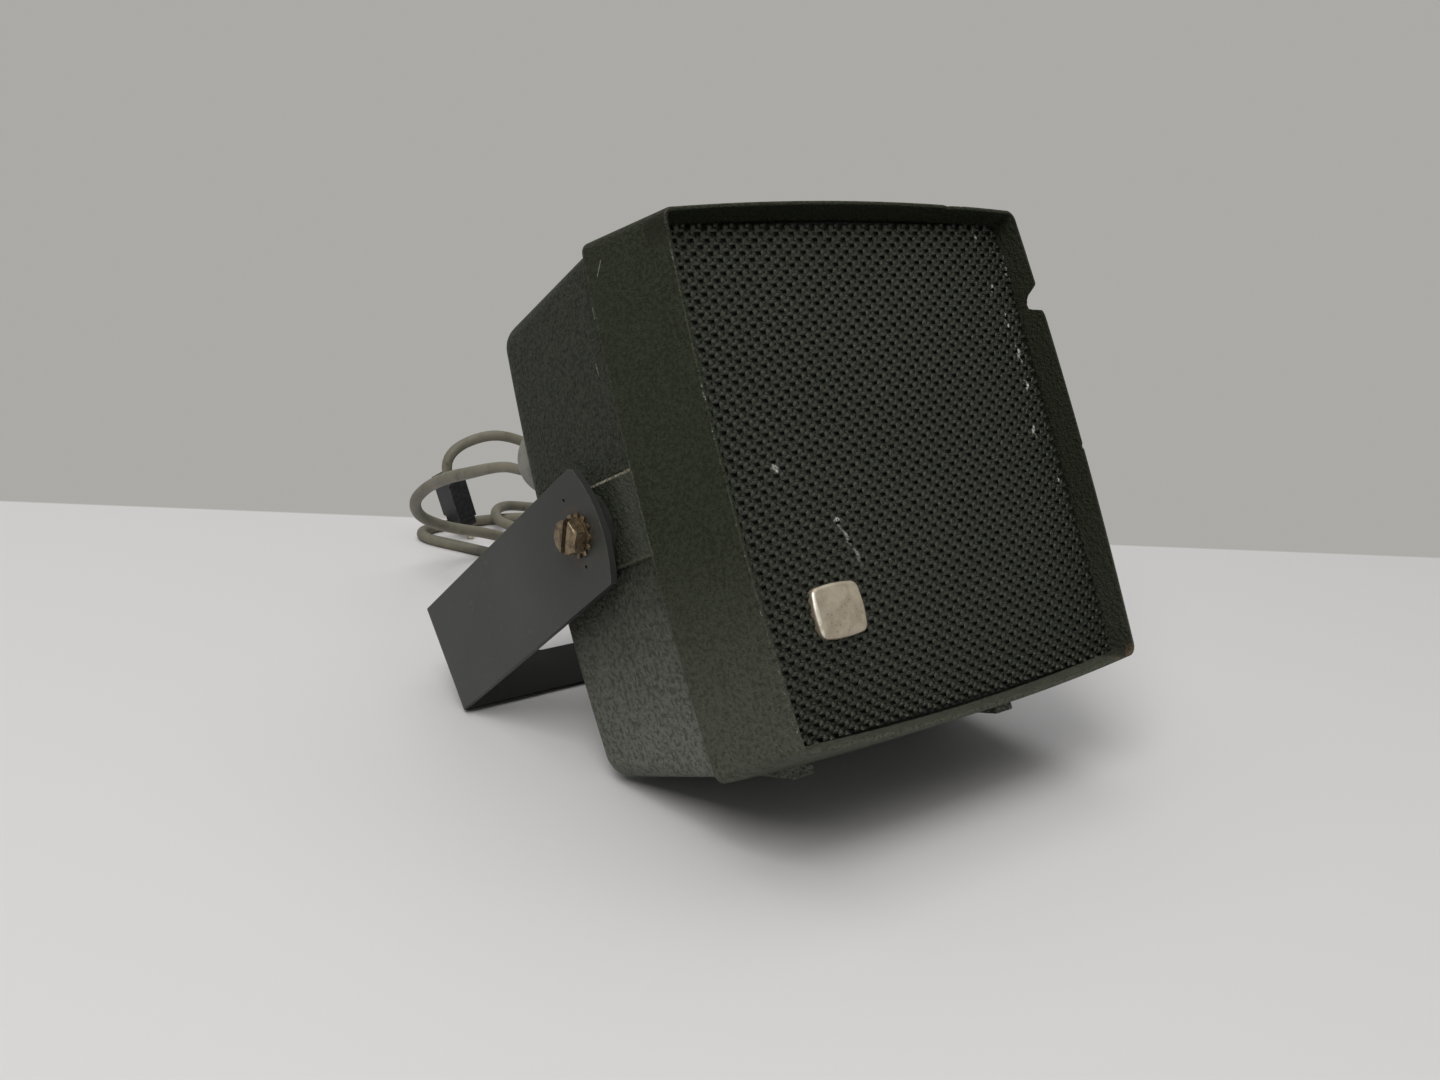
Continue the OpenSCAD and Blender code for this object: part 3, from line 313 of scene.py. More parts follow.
def angles(steps):
    return [math.tau * i / steps for i in range(steps)]


def skin(rings, closed=False):
    """Points and faces of a solid through rings of points, with its ends capped or joined."""
    n, rows = len(rings[0]), len(rings)
    faces = [(k * n + i, k * n + (i + 1) % n, (k + 1) % rows * n + (i + 1) % n,
              (k + 1) % rows * n + i) for k in range(rows if closed else rows - 1)
             for i in range(n)]
    if not closed:
        faces += [tuple(range(n - 1, -1, -1)), tuple(range((rows - 1) * n, rows * n))]
    return [p for ring in rings for p in ring], faces


def swept_tube(line, radius, sides, drawn, drawn_over):
    """A closed round tube along a line, thinner at its first points."""
    rings = []
    side = Vector((0, 0, 1)).cross(line[1] - line[0]).normalized()
    for i, middle in enumerate(line):
        ahead = (line[min(i + 1, len(line) - 1)] - line[max(i - 1, 0)]).normalized()
        side = (side - ahead * side.dot(ahead)).normalized()
        other = ahead.cross(side)
        r = radius * (drawn + (1 - drawn) * min(1, i / drawn_over))
        rings.append([middle + r * (math.cos(a) * side + math.sin(a) * other)
                      for a in angles(sides)])
    return skin(rings)


CORD_SIDES, DRAWN, DRAWN_OVER, LINE_STEP = 14, 0.72, 20, 2.0
sheath = Finish("soiled olive sheath", Specular_IOR_Level=0.3)
at = sheath.place()
grime = sheath.noise(at, 0.06, 4, 0.6)
stains = sheath.noise(at, 0.35, 4, 0.65).rising(0.55, 0.72)
sheath.wear(Base_Color=sheath.coats(grime.rising(0.35, 0.65), (0.2, 0.182, 0.135),
                                    (0.135, 0.13, 0.1), (stains * 0.6, (0.075, 0.055, 0.035))),
            Roughness=0.42 + 0.2 * grime, Normal=sheath.bump(sheath.noise(at, 0.9), 0.00012, 0.5))
cord_line = smooth_line(cord_stops, LINE_STEP)
cord = make_piece("cord", *swept_tube(cord_line, CORD_D / 2, CORD_SIDES, DRAWN, DRAWN_OVER),
                  TABLE, sheath, "cord_sheath", ("cord_to_coil", "cord_coil", "cord_to_plug"),
                  crease=60)


# Plug: a small black two-pin plug that stands tilted behind the loops, on its pins' tips.
# Its moulded body has eased edges, rubbed grey; the pins are plated brass.
def baked(mesh, modifiers):
    """The mesh after modifiers, given as pairs of a kind and its settings."""
    scratch = placed("scratch", mesh)
    for kind, settings in modifiers:
        modifier = scratch.modifiers.new(kind, kind)
        for name, value in settings.items():
            if name == "inputs":
                for item in settings["node_group"].interface.items_tree:
                    if item.in_out == "INPUT" and item.name in value:
                        modifier[item.identifier] = value[item.name]
            else:
                setattr(modifier, name, value)
    graph = bpy.context.evaluated_depsgraph_get()
    result = bpy.data.meshes.new_from_object(scratch.evaluated_get(graph))
    bpy.data.objects.remove(scratch)
    return result


def dressed(node, finish, worn, width, body="speaker"):
    """A node's own form with rounded edges, whose roundings take the worn finish."""
    mesh = bpy.data.objects[node].data.copy()
    form = bmesh.new()
    form.from_mesh(mesh)
    bmesh.ops.remove_doubles(form, verts=form.verts, dist=2e-6)
    bmesh.ops.dissolve_limit(form, angle_limit=math.radians(0.5), verts=form.verts,
                             edges=form.edges)
    form.to_mesh(mesh)
    form.free()
    mesh.materials.clear()
    for each in (finish, worn):
        mesh.materials.append(each.material)
    mesh.shade_smooth()
    mesh = baked(mesh, [("BEVEL", {"width": width, "segments": 3, "limit_method": "ANGLE",
                                   "angle_limit": math.radians(30), "material": 1}),
                        ("WEIGHTED_NORMAL", {"mode": "FACE_AREA", "weight": 100})])
    return finish_piece(node + "_dressed", mesh, [finish.material, worn.material], [node],
                        body, 0)


plug_black = Finish("black plug moulding", Specular_IOR_Level=0.25)
grit = plug_black.noise(plug_black.place(), 0.8, 4)
plug_black.wear(
    Base_Color=plug_black.blend(grit.rising(0.4, 0.7), (0.012, 0.013, 0.015),
                                (0.026, 0.027, 0.029)),
    Roughness=0.35 + 0.25 * grit, Normal=plug_black.bump(grit, 0.00005, 0.6))
plug_rubbed = Finish("rubbed plug edges", Specular_IOR_Level=0.25, Roughness=0.4)
rubs = plug_rubbed.noise(plug_rubbed.place(), 0.6)
plug_rubbed.wear(Base_Color=plug_rubbed.blend(rubs.rising(0.45, 0.6), (0.025, 0.026, 0.028),
                                              (0.075, 0.077, 0.078)))
plug_piece = dressed("plug_body", plug_black, plug_rubbed, 0.0005)
cord_path = [TABLE @ p for p in cord_line]


# Front half of the case: a smooth olive-black moulding with a satin skin. Its rim is thin and
# rounded, rubbed pale along the left, and broken out and nicked on the right.
CASE_HALF, FRONT_DEPTH, REAR_DEPTH, FLARE = 60, 27.5, 47.2, 2.4
RIM_BOW, SEAM_BOW, BACK_BOW, CORNER_R, WALL, LAP, LAP_WALL = 1.95, 1.9, 1.85, 3, 2.7, 3, 1.2
case_depth = FRONT_DEPTH + REAR_DEPTH
seam_half = CASE_HALF + FLARE
BAFFLE_FRONT, BAFFLE_BACK, SOUND_R = 7.85, 10.85, 45
CHIP_REACH, CORNER_STEPS = 8, 8
chip_steps = ((30.1, 0), (31.6, 0.12), (32.5, 0.5), (33.2, 2.2), (34, 4.2), (34.6, 4.6),
              (35.5, 4.7), (36.6, 4.2), (37.7, 3.3), (39.3, 0.4), (39.6, 0))
chip_seed = random.Random(7)


def outline(hx, hz, bow, r, side_steps=60):
    """Points round a square with bowed sides and rounded corners, seen from the front."""
    ring = []
    for k in range(4):
        along, beside = (hx - r, hz - r) if k % 2 == 0 else (hz - r, hx - r)
        slope, slope_before = (2 * math.atan(bow / chord) for chord in (along, beside))
        cx = (hx - r) * (1 if k in (0, 3) else -1)
        cz = (hz - r) * (1 if k < 2 else -1)
        start, end = math.pi / 2 * k + slope_before, math.pi / 2 * (k + 1) - slope
        for i in range(CORNER_STEPS + 1):
            a = start + (end - start) * i / CORNER_STEPS
            ring.append((cx + r * math.cos(a), cz + r * math.sin(a)))
        bow_r = along / math.sin(slope)
        facing = math.pi / 2 * (k + 1)
        sx, sz = ((0, hz - r), (r - hx, 0), (0, r - hz), (hx - r, 0))[k]
        for i in range(1, side_steps):
            t = slope * (2 * i / side_steps - 1)
            out = r * math.cos(slope) + bow_r * (math.cos(t) - math.cos(slope))
            by = bow_r * math.sin(t)
            ring.append((sx + out * math.cos(facing) - by * math.sin(facing),
                         sz + out * math.sin(facing) + by * math.cos(facing)))
    return ring


def turned_over(faces):
    return [face[:1] + face[:0:-1] for face in faces]


def loft(rings, depths, closed=False):
    """Points and faces of a solid through outlines, seen from the front, from front to back."""
    points, faces = skin([[(x, d, z) for x, z in ring] for ring, d in zip(rings, depths)],
                         closed)
    return points, turned_over(faces)


def circle(x, up, r, sides=40):
    return [(x + r * math.cos(a), up + r * math.sin(a)) for a in angles(sides)]


def turned(x, up, profile, sides=40, closed=False):
    """A round solid that runs back through the case, from its radii and their depths."""
    return loft([circle(x, up, r, sides) for r, d in profile], [d for r, d in profile], closed)


def rod(x, up, r, start, end, sides=40):
    return turned(x, up, [(r, start), (r, end)], sides)


def joined(*solids):
    points, faces = [], []
    for more, ends in solids:
        shift = len(points)
        points += more
        faces += [tuple(i + shift for i in face) for face in ends]
    return points, faces


def front_ring(depth, inset, fine):
    half = CASE_HALF + FLARE * depth / FRONT_DEPTH - inset
    bow = RIM_BOW + (SEAM_BOW - RIM_BOW) * depth / FRONT_DEPTH
    return outline(half, half, bow, max(CORNER_R - inset, 1), side_steps=fine)


def chip_depth(x, up):
    """How far the rim is broken back at a place on it."""
    deep = 0
    if x > 50:
        for (a, fa), (b, fb) in zip(chip_steps, chip_steps[1:]):
            if a <= up <= b:
                deep = fa + (fb - fa) * (up - a) / (b - a)
        deep += 0.5 * max(0, 1 - abs(up + 4.9) / 0.8)
    if up > 50 and 33 < x < 40:
        deep += 0.25 + 0.45 * max(0, 1 - abs(x - 34.9) / 1.4)
    return deep


ROUND_OUT, ROUND_IN, ROUND_SEAM, RIM_EDGE, CLOTH_FRONT = 0.5, 0.3, 0.5, 1.1, 6.5
quarter = [math.pi / 2 * i / 4 for i in range(5)]
rim_profile = [(0, d) for d in (27, 24, 20, 16, 13, 10, 8, 6.5, 5, 4, 3, 2.2, 1.5, 1)]
rim_profile += [(ROUND_OUT * (1 - math.cos(a)), ROUND_OUT * (1 - math.sin(a))) for a in quarter]
rim_profile += [(RIM_EDGE - ROUND_IN * (1 - math.sin(a)), ROUND_IN * (1 - math.cos(a)))
                for a in quarter]
rim_profile += [(RIM_EDGE + (WALL - RIM_EDGE) * d / CLOTH_FRONT, d)
                for d in (0.8, 1.5, 2.5, 3.5, 4.5, 5.5, CLOTH_FRONT)]
rim_profile += [(WALL, d) for d in (9, 14, FRONT_DEPTH - LAP)]
rim_profile += [(LAP_WALL, FRONT_DEPTH - LAP), (LAP_WALL, FRONT_DEPTH)]
rim_profile += [(ROUND_SEAM * (1 - math.sin(a)), FRONT_DEPTH - ROUND_SEAM * (1 - math.cos(a)))
                for a in quarter[:-1]]
rim_rings = [front_ring(depth, inset, 200) for inset, depth in rim_profile]
shell_points, shell_faces = loft(rim_rings, [depth for inset, depth in rim_profile], True)
shell_points = [(x, d + (chip_depth(x, up) + chip_seed.uniform(-1, 1) * (
    0.02 + 0.16 * min(1, chip_depth(x, up)))) * max(0, 1 - d / CHIP_REACH), up)
    for x, d, up in shell_points]
baffle_edge = front_ring(BAFFLE_FRONT, WALL - 0.1, 60)
sound_ring = [(SOUND_R * math.cos(math.atan2(z, x)), SOUND_R * math.sin(math.atan2(z, x)))
              for x, z in baffle_edge]
baffle = loft([baffle_edge, baffle_edge, sound_ring, sound_ring],
              [BAFFLE_FRONT, BAFFLE_BACK, BAFFLE_BACK, BAFFLE_FRONT], True)
SCREW_OFF, STUD_OFF = 45, 49.6 * math.sqrt(0.5)
posts = [rod(sx * off, sz * off, r, BAFFLE_BACK - 0.3, end)
         for sx in (-1, 1) for sz in (-1, 1)
         for off, r, end in ((SCREW_OFF, 4.5, 24.4), (STUD_OFF, 2.5, 14.6))]
# The rim's profile starts at the seam and comes forward, so its faces are turned over.
front_form = joined((shell_points, turned_over(shell_faces)), baffle, *posts)


def inner_wall(across, along, depth):
    """1 on the rim's inner wall, which is bowed along, before the grille."""
    return (abs(across) + along * along * 0.0006 - 61.95).rising(-0.75, -1.05) * depth.rising(7, 6)


def scratched(depth, up, at_depth, at_up, slant, half):
    """1 in a short slanting scratch."""
    return ((abs(depth - at_depth + (up - at_up) * slant) / 0.22).rising(1, 0.3)
            * (abs(up - at_up) / half).rising(1, 0.8))


smooth = Finish("smooth olive-black moulding", Specular_IOR_Level=0.29,
                Specular_Tint=(0.86, 1, 0.62, 1))
at = smooth.in_case()
sx, sd, su = smooth.parts(at)
edge = smooth.add("ShaderNodeAttribute", {"attribute_name": "edge"}, out="Fac")
cloud = smooth.noise(at, 0.035, 3, 0.6)
film = smooth.noise(at, 0.25, 5, 0.62)
fine = smooth.noise(at, 2.2, 3, 0.6)
grain = smooth.noise(at, 1.0, 3, 0.65)
# Lighter towards the bottom: painted light, the table's bounce put into the colour.
lower = su.rising(-5, -62) * (0.35 + 0.65 * grain.rising(0.3, 0.6))
left = sx.rising(-58.5, -60)
worn_corner = left * edge * (su.rising(54, 56) * fine.rising(0.3, 0.5)
                             + grain.rising(0.6, 0.68)).at_most(1)
back_lip = sd.rising(26.5, 26.8) * abs(sx).rising(60.5, 61.5)
# Beside the boss the pale lip is brighter: the rubbed lip with painted light on it, joining the
# lit strip on the boss.
beside_boss = back_lip * abs(su).rising(12, 11) * (0.5 + 0.5 * grain.rising(0.5, 0.62))
bare = sx.rising(48, 53) * su.rising(-56, -59) * sd.rising(2.6, 1) * film.rising(0.42, 0.5)
streaks = smooth.noise(smooth.stretched(at, (1, 0.05, 1.6), (0.35, 0, 0)), 0.9, 2, 0.5)
dust = smooth.cells(at, 0.33).rising(0.1, 0.05) * fine.rising(0.58, 0.66)
smooth.wear(
    Base_Color=smooth.coats(
        grain.rising(0.36, 0.64), (0.004, 0.0052, 0.0024), (0.031, 0.0352, 0.0215),
        (cloud.rising(0.3, 0.7) * 0.35, (0.021, 0.024, 0.0145)),
        (film.rising(0.5, 0.72) * 0.4, (0.034, 0.036, 0.025)),
        # Painted bounce light from the table, lighter towards the bottom.
        (lower, (0.105, 0.111, 0.089)),
        (film.rising(0.3, 0.5) * edge * left * 0.6, (0.085, 0.088, 0.07)),
        (worn_corner * 0.8, (0.45, 0.45, 0.41)),
        # Painted shade: the top of the rim's inner wall darkened nearly to black, where the recess
        # lies in shade.
        (inner_wall(su, sx, sd) * su.rising(50, 56) * 0.85, (0.003, 0.0035, 0.0022)),
        # Painted shade: the right inner wall evened out and darkened, where it lies in shade.
        (inner_wall(sx, su, sd) * sx.rising(50, 54) * 0.75, (0.023, 0.0248, 0.0185)),
        (back_lip * grain.rising(0.35, 0.6) * 0.45, (0.08, 0.083, 0.064)),
        # Painted light on the rubbed lip beside the boss.
        (beside_boss * 0.7, (0.13, 0.13, 0.105)),
        (edge * su.rising(56, 59) * film.rising(0.4, 0.56) * 0.7, (0.11, 0.09, 0.068)),
        (edge * su.rising(-56, -59) * 0.6, (0.085, 0.086, 0.066)),
        (bare * 0.8, (0.155, 0.105, 0.07)),
        (streaks.rising(0.7, 0.74) * cloud.rising(0.5, 0.62) * 0.2, (0.1, 0.098, 0.08)),
        (dust * 0.3, (0.2, 0.19, 0.165)),
        (scratched(sd, su, 22.7, 54.7, 0.7, 1.7) * sx.rising(-60, -61) * 0.7, (0.4, 0.4, 0.36))),
    Roughness=0.40 + 0.22 * film, Normal=smooth.bump(grain + fine * 0.4, 0.0024))
front_piece = make_piece("front_half", *front_form, CASE, smooth, "case_plastic",
                         ["front_shell"], crease=50)
rounds = front_piece.data.attributes.new("edge", "FLOAT", "POINT")
ring_size = len(rim_rings[0])
for i, (inset, depth) in enumerate(rim_profile):
    for k in range(ring_size):
        rounds.data[i * ring_size + k].value = float(depth < 0.3 and inset < 0.45)


# Rear half of the case: the same plastic with a leather-like grain, tapering to a flat back
# with rounded edges. Four bores take the screws; square bosses carry the bracket and two
# ribs run along underneath.
REAR_HALF = seam_half - LAP_WALL - 0.1
SIDE_TAPER, TOP_TAPER, BOTTOM_TAPER, EDGE_R, REAR_WALL = 3, 3.6, 3.9, 6, 2.5
wall_slope = math.atan(BOTTOM_TAPER / REAR_DEPTH)


def rear_ring(depth, inset, bow_depth=None, r=None):
    share = max(0, depth - FRONT_DEPTH) / REAR_DEPTH
    bow_share = min(1, share if bow_depth is None else bow_depth)
    bow = SEAM_BOW + (BACK_BOW - SEAM_BOW) * bow_share
    drop = (TOP_TAPER - BOTTOM_TAPER) / 2 * share
    ring = outline(REAR_HALF - SIDE_TAPER * share - inset,
                   REAR_HALF - (TOP_TAPER + BOTTOM_TAPER) / 2 * share - inset, bow,
                   max(CORNER_R - inset, 1) if r is None else max(r, 1))
    return [(x, z - drop) for x, z in ring]


def rear_skin(r, inset, start):
    """Rings and depths of the rear half's outside, or of its inside with an inset."""
    rings = [rear_ring(start, inset)]
    depths = [start]
    edge_start = case_depth - inset - r + r * math.sin(wall_slope)
    for i in range(10):
        depths.append(FRONT_DEPTH + (edge_start - FRONT_DEPTH) * i / 10)
        grown = CORNER_R + (EDGE_R + 1 - CORNER_R) * i / 10
        rings.append(rear_ring(depths[-1], inset, r=grown - inset))
    for i in range(9):
        a = wall_slope + (math.pi / 2 - wall_slope) * i / 8
        drawn = inset + r * (math.cos(wall_slope) - math.cos(a))
        rings.append(rear_ring(edge_start, drawn, 1, EDGE_R + 1 - drawn))
        depths.append(case_depth - inset - r + r * math.sin(a))
    rings.append(rear_ring(edge_start, inset + r + 2, 1, 1.5))
    depths.append(case_depth - inset)
    return rings, depths


def mesh_of(points, faces):
    mesh = bpy.data.meshes.new("form")
    mesh.from_pydata([Vector(p) for p in points], [], faces)
    return mesh


def form_of(mesh):
    return [tuple(v.co) for v in mesh.vertices], [tuple(p.vertices) for p in mesh.polygons]


def cut(form, *tools):
    """Subtracts closed solids from a closed solid; all are points and faces."""
    mesh = mesh_of(*form)
    for tool in tools:
        cutter = placed("cutter", mesh_of(*tool))
        mesh = baked(mesh, [("BOOLEAN", {"operation": "DIFFERENCE", "solver": "EXACT",
                                         "object": cutter})])
        bpy.data.objects.remove(cutter)
    return form_of(mesh)


def eased(points, faces, width, segments):
    """A solid with rounded edges."""
    return form_of(baked(mesh_of(points, faces), [
        ("BEVEL", {"width": width, "segments": segments, "limit_method": "ANGLE",
                   "angle_limit": math.radians(30)})]))


def box(low, high):
    corners = [(x, y, z) for x in (low[0], high[0]) for y in (low[1], high[1])
               for z in (low[2], high[2])]
    return corners, [(0, 1, 3, 2), (4, 6, 7, 5), (0, 4, 5, 1), (2, 3, 7, 6), (0, 2, 6, 4),
                     (1, 5, 7, 3)]


outer_rings, outer_depths = rear_skin(EDGE_R, 0, FRONT_DEPTH - LAP)
inner_rings, inner_depths = rear_skin(EDGE_R - REAR_WALL + 1, REAR_WALL, FRONT_DEPTH - LAP)
hull_points, hull_faces = loft(outer_rings + inner_rings[::-1],
                               outer_depths + inner_depths[::-1], True)
n_ring = len(outer_rings[0])
back = n_ring * len(outer_rings)
# The back's outer and inner face take the place of the row of faces between them.
hull_faces[back - n_ring:back] = [tuple(range(back - 1, back - n_ring - 1, -1)),
                                  tuple(range(back, back + n_ring))]
BORE_R, SHANK_R, TUBE_R, RELIEF_NECK_R, HEAD_SEAT, TUBE_START = 3.9, 2.2, 5.2, 4.52, 32.5, 24.6
corners = [(sx * SCREW_OFF, sz * SCREW_OFF) for sx in (-1, 1) for sz in (-1, 1)]
bores = [rod(*corner, BORE_R, case_depth - 12, case_depth + 3) for corner in corners]
bores.append(rod(RELIEF_X, RELIEF_UP, RELIEF_NECK_R, case_depth - 5, case_depth + 3))
hull = cut((hull_points, hull_faces), *bores)
tube_profile = [(TUBE_R, TUBE_START), (TUBE_R, case_depth - 0.9), (BORE_R, case_depth - 0.9),
                (BORE_R, HEAD_SEAT), (SHANK_R, HEAD_SEAT), (SHANK_R, TUBE_START)]
tubes = [turned(*corner, tube_profile, closed=True) for corner in corners]
BOSS_FACE, BOSS_UP, BOSS_END, BOSS_IN = 63.5, 10.2, 61, 50
INSERT_R, INSERT_IN, EASED = 4.22, 53.9, 0.7
bosses = []
for side in (-1, 1):
    block = eased(*box((min(side * BOSS_IN, side * BOSS_FACE), FRONT_DEPTH + 0.02, -BOSS_UP),
                       (max(side * BOSS_IN, side * BOSS_FACE), BOSS_END, BOSS_UP)), EASED, 4)
    across = rod(PIVOT_DEPTH, 0, INSERT_R, 0, 10)
    bore = ([(side * (INSERT_IN + d), x, z) for x, d, z in across[0]],
            across[1] if side < 0 else turned_over(across[1]))
    bosses.append(cut(block, bore))
RIB_X, RIB_W, RIB_RUN, RIB_SLOPE = 36.4, 7, 40, 0.2
rib_top = REAR_HALF - 1.5
rib_low = REAR_HALF + 4 + SEAM_BOW * 0.63
ribs = []
for side in (-1, 1):
    sides = [side * RIB_X + half * RIB_W / 2 for half in (-1, 1)]
    section = [(FRONT_DEPTH + 0.02, -rib_top), (FRONT_DEPTH + 0.02, -rib_low),
               (FRONT_DEPTH + RIB_RUN, RIB_SLOPE * RIB_RUN - rib_low),
               (FRONT_DEPTH + RIB_RUN, 2.5 - rib_top)]
    ribs.append(eased(*skin([[(x, d, z) for d, z in section] for x in sides]), EASED, 4))
rear_form = joined(hull, *tubes, *bosses, *ribs)

grained = Finish("grained olive-black moulding", Specular_IOR_Level=0.23,
                 Specular_Tint=(0.92, 1, 0.76, 1))
at = grained.in_case()
gx, gd, gu = grained.parts(at)
cloud = grained.noise(at, 0.04, 3, 0.6)
crumpled = grained.add("ShaderNodeVectorMath", {"operation": "ADD"}, at,
                       grained.noise(at, 0.6, 2) * 1.3)
cells = grained.cells(crumpled, 1.15, "SMOOTH_F1")
veins = grained.cells(crumpled, 1.15, "DISTANCE_TO_EDGE").rising(0.16, 0.02)
fine = grained.noise(at, 1.3, 4, 0.65)
ridges = grained.noise(crumpled, 0.85, 3, 0.6)
# Lighter towards the bottom: painted light, the table's bounce put into the colour.
lower = gu.rising(0, -58) * (0.4 + 0.6 * ridges.rising(0.35, 0.58))
scuffs = grained.noise(at, 0.22, 5, 0.65).rising(0.6, 0.68) * fine.rising(0.45, 0.6)
# On the boss's face beside the bracket: painted shadow of the bracket and its disc, darkest
# towards the disc, and painted light in a strip by the seam.
on_boss = abs(gx).rising(62.3, 63) * abs(gu).rising(10.3, 9.8)
# A pale line along the boss's top and bottom edges, strongest on top where the light falls: a
# painted highlight.
boss_edge_highlight = abs(gx).rising(61, 62.5) * gd.rising(27, 28) * gd.rising(62, 61)
boss_edge_highlight = boss_edge_highlight * abs(abs(gu) - 9.9).rising(0.55, 0.2) * fine.rising(0.35, 0.55)
on_left = gx.rising(-59, -60) * fine.rising(0.35, 0.5)
crumbs = grained.cells(at, 0.25).rising(0.12, 0.05) * fine.rising(0.5, 0.6)
grained.wear(
    Base_Color=grained.coats(
        ridges.rising(0.38, 0.6), (0.0045, 0.0056, 0.003), (0.0315, 0.0355, 0.024),
        (cloud.rising(0.3, 0.7) * 0.3, (0.0225, 0.0255, 0.0172)),
        (veins * fine.rising(0.4, 0.6) * 0.5, (0.062, 0.066, 0.052)),
        # Painted bounce light from the table, lighter towards the bottom.
        (lower, (0.19, 0.2, 0.168)),
        (scuffs * 0.3, (0.13, 0.127, 0.105)),
        # Painted shadow towards the disc, then painted light by the seam.
        (on_boss * gd.rising(33, 41) * 0.6, (0.007, 0.008, 0.0055)),
        (on_boss * gd.rising(37, 30) * 0.8, (0.066, 0.071, 0.057)),
        (boss_edge_highlight * gu.rising(-18, 10) * 0.9, (0.36, 0.33, 0.25)),
        (scratched(gd, gu, 29.3, 46.5, 0.05, 1.5) * on_left * 0.75, (0.4, 0.4, 0.36)),
        (scratched(gd, gu, 32.6, 34.3, -0.08, 1.5) * on_left * 0.75, (0.4, 0.4, 0.36)),
        (crumbs * 0.35, (0.24, 0.23, 0.19))),
    Roughness=0.42 + 0.16 * fine, Normal=grained.bump(ridges + fine * 0.4 - cells * 0.4, 0.0026))
make_piece("rear_half", *rear_form, CASE, grained, "grained_plastic", ["rear_shell"], crease=38)


# Grille: a black perforated card sheet with a coarse black cloth stretched over it. Round
# threads go over and under one another; dust and lint have caught on the right.
WARP_COUNT, WARP_PITCH, WARP_W, WARP_T = 48, 2.415, 1.76, 0.75
WEFT_COUNT, WEFT_PITCH, WEFT_W, WEFT_T = 74, 1.5625, 1.13, 0.65
CLOTH_MIDDLE, CLOTH_HALF, WAVE, THREAD_STEPS, THREAD_SIDES = 6.45, 58.6, 0.36, 4, 6


def repeater():
    """Geometry Nodes that repeat a strand along a line, each one turned further than the
    one before, until after as many as Every the turns start again."""
    tree = bpy.data.node_groups.new("strands side by side", "GeometryNodeTree")
    for name, kind in (("Strand", "Geometry"), ("Count", "Int"), ("Start", "Vector"),
                       ("Step", "Vector"), ("Turn", "Vector"), ("Every", "Int"),
                       ("Material", "Material")):
        tree.interface.new_socket(name, in_out="INPUT", socket_type="NodeSocket" + kind)
    tree.interface.new_socket("Cloth", in_out="OUTPUT", socket_type="NodeSocketGeometry")
    graph = Nodes(tree)
    given = {socket.name: Amount(graph, socket)
             for socket in graph.add("NodeGroupInput", {}, out=None).outputs}
    line = graph.add("GeometryNodeMeshLine", {}, Count=given["Count"],
                     Start_Location=given["Start"], Offset=given["Step"])
    turns = graph.add("GeometryNodeInputIndex", {}).maths("MODULO", given["Every"])
    rotation = graph.add("ShaderNodeVectorMath", {"operation": "SCALE"}, given["Turn"],
                         Scale=turns)
    strands = graph.add("GeometryNodeInstanceOnPoints", {}, line, Instance=given["Strand"],
                        Rotation=rotation)
    cloth = graph.add("GeometryNodeSetMaterial", {},
                      graph.add("GeometryNodeRealizeInstances", {}, strands),
                      Material=given["Material"])
    graph.add("NodeGroupOutput", {}, cloth, out=None)
    return tree


def strand(length, pitch, wave, width, thick):
    """A thread along +Z that waves in depth, over at the first crossing."""
    count = round(length / pitch * THREAD_STEPS)
    rings = []
    for i in range(count + 1):
        z = -length / 2 + length * i / count
        depth = wave * math.cos(math.pi * z / pitch)
        rings.append([(width / 2 * math.cos(a), depth + thick / 2 * math.sin(a), z)
                      for a in angles(THREAD_SIDES)])
    return mesh_of(*skin(rings))


threads = Finish("black grille threads", Specular_IOR_Level=0.65,
                 Specular_Tint=(0.93, 1.0, 0.8, 1))
at = threads.in_case()
tx, _, tu = threads.parts(at)
fibres = threads.noise(at, 2.4, 4, 0.65)
faded = threads.noise(at, 0.03, 3, 0.55)
lint = sum((abs(tx - x) / half_w + abs(tu - up) / half_h).rising(1.3, 0.6)
           for x, up, half_w, half_h in (
               (58.3, 46.6, 0.5, 5), (52.6, 31.6, 0.4, 2.9), (54, 22.8, 0.45, 3),
               (53.6, 14.5, 0.5, 1.8), (51.4, 2, 0.45, 1.8), (49.1, 55.3, 0.4, 1.6),
               (50.4, 40.7, 0.45, 1.6), (55.5, -12, 0.4, 1.4), (-41.3, 1.8, 1.3, 1.3),
               (-27, -12, 0.9, 0.8)))
trail = ((abs(tx + 24.5 + (tu + 18) * 0.42) / 0.5).rising(1.2, 0.4) * tu.rising(-24.5, -20)
         * tu.rising(-10.5, -14))
lint = ((lint + trail * 0.5) * fibres.rising(0.38, 0.52)).at_most(1)
edge_dust = (abs(tx).rising(52, 58) + abs(tu).rising(52, 58)).at_most(1)
threads.wear(
    Base_Color=threads.coats(
        faded.rising(0.3, 0.7), (0.0025, 0.003, 0.002), (0.006, 0.0066, 0.0048),
        (fibres.rising(0.52, 0.7) * 0.4, (0.07, 0.071, 0.062)),
        (lint * 0.95, (0.6, 0.59, 0.54)),
        (edge_dust * fibres.rising(0.45, 0.7) * 0.3, (0.07, 0.067, 0.058))),
    Roughness=0.17 + 0.25 * fibres, Normal=threads.bump(fibres, 0.0003))
weaver = repeater()
